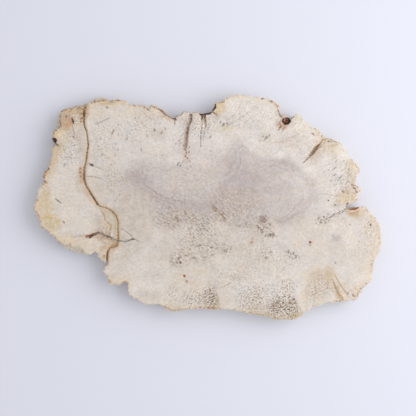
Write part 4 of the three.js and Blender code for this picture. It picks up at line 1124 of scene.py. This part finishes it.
    def points(self) -> tuple[np.ndarray, np.ndarray]:
        """The mesh's vertices in millimetres and their normals.

        Returns:
            Two tables, with a row for each vertex.
        """
        where, facing = (np.empty(len(self.piece.data.vertices) * 3) for _ in range(2))
        self.piece.data.vertices.foreach_get("co", where)
        self.piece.data.vertices.foreach_get("normal", facing)
        return where.reshape(-1, 3) / MM, facing.reshape(-1, 3)

    def store(self, name: str, values: np.ndarray) -> None:
        """Keeps a number, or a colour, for each vertex as a named attribute.

        Args:
            name: The attribute's name.
            values: The numbers, or the rows of colours.
        """
        kind, key = ("FLOAT", "value") if values.ndim == 1 else ("FLOAT_COLOR", "color")
        layer = self.piece.data.attributes.new(name, kind, "POINT")
        layer.data.foreach_set(key, values.astype(np.float32).ravel())

    def stored(self, name: str) -> np.ndarray:
        """Reads back the numbers that the mesh keeps under a name.

        Args:
            name: The attribute's name.

        Returns:
            One number for each vertex.
        """
        values = np.empty(len(self.piece.data.vertices), dtype=np.float32)
        self.piece.data.attributes[name].data.foreach_get("value", values)
        return values

    def away_from(self, where: np.ndarray, route: tuple[tuple[float, float, float], ...]) -> np.ndarray:
        """How far each point lies outside a line's half width, in millimetres.

        Args:
            where: The points.
            route: The line's x, y and half width.

        Returns:
            One distance for each point, less than 0 within the line, and at most FAR_MM.
        """
        x, y, _ = np.array(route).T
        close = np.nonzero((where[:, 0] > x.min() - FAR_MM) & (where[:, 0] < x.max() + FAR_MM)
                           & (where[:, 1] > y.min() - FAR_MM) & (where[:, 1] < y.max() + FAR_MM))[0]
        px, py = where[close, 0], where[close, 1]
        best = np.full(len(close), FAR_MM)
        for (ax, ay, aw), (bx, by, bw) in zip(route, route[1:]):
            dx, dy = bx - ax, by - ay
            share = np.clip(((px - ax) * dx + (py - ay) * dy) / (dx * dx + dy * dy), 0, 1)
            gap = np.hypot(px - ax - share * dx, py - ay - share * dy)
            best = np.minimum(best, gap - (aw + (bw - aw) * share))
        away = np.full(len(where), FAR_MM)
        away[close] = best
        return away

    def nearest(self, where: np.ndarray) -> tuple[np.ndarray, np.ndarray]:
        """The nearest line or speck to each point. Within several, it is the last of them that shows.

        Args:
            where: The points.

        Returns:
            How far each point lies outside it, and its colour with its strength as alpha.
        """
        marks = [(line.ink, line.strength, line.route) for line in LINES]
        for group in SPECKS:
            along = math.radians(group.turn)
            for x, y, long, short in group.spots:
                dx, dy = (max(long - short, 0.02) * way for way in (math.cos(along), math.sin(along)))
                marks.append((group.ink, group.strength, ((x - dx, y - dy, short), (x + dx, y + dy, short))))
        best = np.full(len(where), FAR_MM)
        colours = np.tile((*linear(BROWN.value)[:3], 0.0), (len(where), 1))
        for ink, strength, route in marks:
            away = self.away_from(where, route)
            shown = (away < best) | (away < 0)
            best = np.minimum(best, away)
            colours[shown] = (*linear(ink.value)[:3], strength)
        return best, colours

    def measured(self) -> None:
        """Measures where the cracks, the rim and the rind are, and keeps it on the mesh."""
        where, facing = self.points()
        height, lean = where[:, 2], np.abs(facing[:, 2])
        vein = self.away_from(where, VEIN.route)
        # the crack distances and the inks also carry the lines of painted shade in the rim's deep pockets
        crack, ink = self.nearest(where)
        any_crack = np.minimum(vein, crack)
        rim = self.from_rim(where, lean, any_crack > self.rim_clear_mm)
        middle = (height > self.face_depth_mm) & (height < self.top - self.face_depth_mm)
        wall = np.where(middle | (rim < self.rind_reach_mm), 1.0, 0.0)
        wall *= np.clip((self.wall_lean - lean) / self.wall_fade, 0, 1)
        plain = np.clip((any_crack - self.clean_lip_mm) / self.clean_fade_mm, 0, 1)
        wall *= np.maximum(plain, np.clip((self.top - self.mouth_mm - height) / self.mouth_fade_mm, 0, 1))
        for name, values in (("vein", vein), ("crack", crack), ("ink", ink), ("rim", rim),
                             ("iron", self.ironed(where)), ("rind", wall)):
            self.store(name, values)
        group = self.piece.vertex_groups.new(name="bark")
        for level in range(1, 11):
            group.add(np.nonzero(np.round(wall * 10) == level)[0].tolist(), level / 10, "REPLACE")
        LOG.info("%.0f%% of the mesh is rind", 100 * wall.mean())

    def from_rim(self, where: np.ndarray, lean: np.ndarray, clear: np.ndarray) -> np.ndarray:
        """How far each point lies from the slice's rim, seen from above.

        Args:
            where: The points.
            lean: How far each point's normal leans from level, as its height.
            clear: Which points lie clear of the cracks, whose walls aren't the rim.

        Returns:
            One distance for each point, in millimetres.
        """
        least, most = self.rim_depths_mm
        band = (where[:, 2] > self.top - most) & (where[:, 2] < self.top - least)
        edge = where[(lean < 0.8) & band & clear]
        edge = edge[:: max(1, len(edge) // self.rim_points)]
        tree = KDTree(len(edge))
        for i, (x, y, _) in enumerate(edge):
            tree.insert((x, y, 0), i)
        tree.balance()
        return np.array([tree.find((x, y, 0))[2] for x, y, _ in where])

    def ironed(self, where: np.ndarray) -> np.ndarray:
        """How much iron has stained the stone's edge at each point.

        Args:
            where: The points.

        Returns:
            One share for each point, from 0 to 1.
        """
        iron = np.full(len(where), self.least_iron)
        for mark in IRON_RIM:
            turn = math.radians(mark.turn)
            x, y = where[:, 0] - mark.x, where[:, 1] - mark.y
            u = (x * math.cos(turn) + y * math.sin(turn)) / mark.long
            v = (y * math.cos(turn) - x * math.sin(turn)) / mark.short
            iron = np.maximum(iron, mark.strength * np.clip(1.6 - np.hypot(u, v), 0, 1))
        return iron

    def roughened(self) -> None:
        """Roughens the rind: broken ribs along the grain, lumps, and fine grit."""
        helper = bpy.data.objects.new("grain direction", None)
        bpy.context.scene.collection.objects.link(helper)
        for grade in self.roughness:
            texture = bpy.data.textures.new(grade.name, "CLOUDS")
            texture.noise_scale = 1.0
            texture.noise_depth = 2
            wide, tall = grade.pitch_mm * MM, grade.pitch_mm * grade.stretch * MM
            helper.scale = (wide, wide, tall)
            bpy.context.view_layer.update()
            displace = self.piece.modifiers.new(grade.name, "DISPLACE")
            displace.texture = texture
            displace.texture_coords = "OBJECT"
            displace.texture_coords_object = helper
            displace.vertex_group = "bark"
            displace.strength = grade.swing_mm * MM
            displace.mid_level = grade.level
            bpy.ops.object.modifier_apply(modifier=displace.name)
            bpy.data.textures.remove(texture)
        bpy.data.objects.remove(helper)

    def levelled(self) -> None:
        """Makes both sawn faces quite flat, and sinks the dark specks a little."""
        where, facing = self.points()
        z = where[:, 2]
        z[(facing[:, 2] > self.sawn_lean) & (z > self.top - self.slack_mm)] = self.top
        z[(facing[:, 2] < -self.sawn_lean) & (z < self.foot + self.slack_mm)] = self.foot
        crack = self.stored("crack")
        face = z > self.top - 0.02
        z[face] -= np.clip(-crack[face], 0, self.speck_reach_mm) * self.speck_slope
        self.placed(where)

    def hollows(self) -> None:
        """Measures how deep each vertex lies in a hollow, and keeps it on the mesh."""
        where, facing = self.points()
        edges = np.empty(len(self.piece.data.edges) * 2, dtype=np.int64)
        self.piece.data.edges.foreach_get("vertices", edges)
        a, b = edges.reshape(-1, 2).T
        count = np.bincount(np.concatenate([a, b]), minlength=len(where))[:, None]
        smooth = where.copy()
        for _ in range(3):
            total = np.zeros_like(smooth)
            np.add.at(total, a, smooth[b])
            np.add.at(total, b, smooth[a])
            smooth = total / count
        self.store("cavity", ((smooth - where) * facing).sum(axis=1))

    def thinned(self) -> None:
        """Thins the mesh where it is flat and plain, away from the rim and the cracks."""
        before = len(self.piece.data.polygons)
        # the side, and the room in millimetres that is left beside the rim and the cracks on it
        for side, rim_room, crack_room in ((1, 3.2, 1.1), (-1, 2.0, -FAR_MM)):
            _, facing = self.points()
            rim, vein, crack = (self.stored(name) for name in ("rim", "vein", "crack"))
            flat = side * facing[:, 2] > self.flat_lean
            self.select(flat & (rim > rim_room) & (vein > self.vein_room_mm) & (crack > crack_room))
            bpy.ops.object.mode_set(mode="EDIT")
            bpy.ops.mesh.decimate(ratio=self.thinned_to)
            bpy.ops.object.mode_set(mode="OBJECT")
        where, _ = self.points()
        self.placed(where)
        bpy.ops.object.shade_smooth_by_angle(angle=math.radians(self.smooth_deg))
        triangles = sum(len(face.vertices) - 2 for face in self.piece.data.polygons)
        LOG.info("thinned from %d faces to %d triangles", before, triangles)


@dataclass
class Table:
    """The plain pale surface that the slice lies on."""

    reach: float = 3.0
    colour: str = "#E0E2EE"
    roughness: float = 0.9
    gloss: float = 0.1

    def build(self) -> bpy.types.Object:
        """Makes the surface and marks it as not part of the object.

        Returns:
            The surface.
        """
        bpy.ops.object.select_all(action="DESELECT")
        bpy.ops.mesh.primitive_plane_add(size=self.reach, location=(0, 0, 0))
        table = bpy.context.active_object
        table.name = "table"
        # uncoated paper: it has no gleam, and the shadow on it stays soft
        paint = bpy.data.materials.new("matte paper")
        paint.use_nodes = True
        shader = paint.node_tree.nodes["Principled BSDF"]
        shader.inputs["Base Color"].default_value = linear(self.colour)
        shader.inputs["Roughness"].default_value = self.roughness
        shader.inputs["Specular IOR Level"].default_value = self.gloss
        table.data.materials.append(paint)
        table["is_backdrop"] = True
        return table


@dataclass
class Studio:
    """Soft light all round, more of it from the right, and a camera that looks straight down."""

    frame_width: float = 238.4 * MM
    lens_mm: float = 100.0
    sensor_mm: float = 36.0
    key_power: float = 2.62
    key_size: float = 0.66
    key_reach: float = 0.6
    key_height_deg: float = 38.0
    key_side_deg: float = 10.0
    sky: float = 0.70
    # where the photo's middle lies on the slice
    middle_x: float = 0.3 * MM
    middle_y: float = -0.4 * MM

    def build(self, face: float) -> None:
        """Makes the lights and the camera.

        Args:
            face: The height of the polished face, which the frame's width is measured at.
        """
        key = bpy.data.lights.new("window", "AREA")
        key.shape = "SQUARE"
        key.size = self.key_size
        key.energy = self.key_power
        lamp = bpy.data.objects.new("window", key)
        up, side = math.radians(self.key_height_deg), math.radians(self.key_side_deg)
        away = Vector((math.cos(up) * math.cos(side), math.cos(up) * math.sin(side), math.sin(up)))
        lamp.location = away * self.key_reach
        lamp.rotation_euler = away.to_track_quat("Z", "Y").to_euler()
        lamp.visible_camera = False
        bpy.context.scene.collection.objects.link(lamp)
        world = bpy.data.worlds.new("room")
        world.use_nodes = True
        backdrop = world.node_tree.nodes["Background"]
        backdrop.inputs["Color"].default_value = (1, 1, 1, 1)
        backdrop.inputs["Strength"].default_value = self.sky
        bpy.context.scene.world = world
        lens = bpy.data.cameras.new("above")
        lens.lens = self.lens_mm
        lens.sensor_width = self.sensor_mm
        camera = bpy.data.objects.new("above", lens)
        above = face + self.frame_width * self.lens_mm / self.sensor_mm
        camera.location = (self.middle_x, self.middle_y, above)
        bpy.context.scene.collection.objects.link(camera)
        bpy.context.scene.camera = camera
        bpy.context.scene.view_settings.view_transform = "Standard"


def main() -> None:
    """Builds the slice, the table and the studio."""
    logging.basicConfig(level=logging.INFO, format="%(name)s: %(message)s")
    cad_box = [list(corner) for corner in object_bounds()]
    piece = WoodSlice().build()
    LOG.info("%s has %d vertices", piece.name, len(piece.data.vertices))
    Table().build()
    Studio().build(cad_box[1][2])


if __name__ == "__main__":
    main()
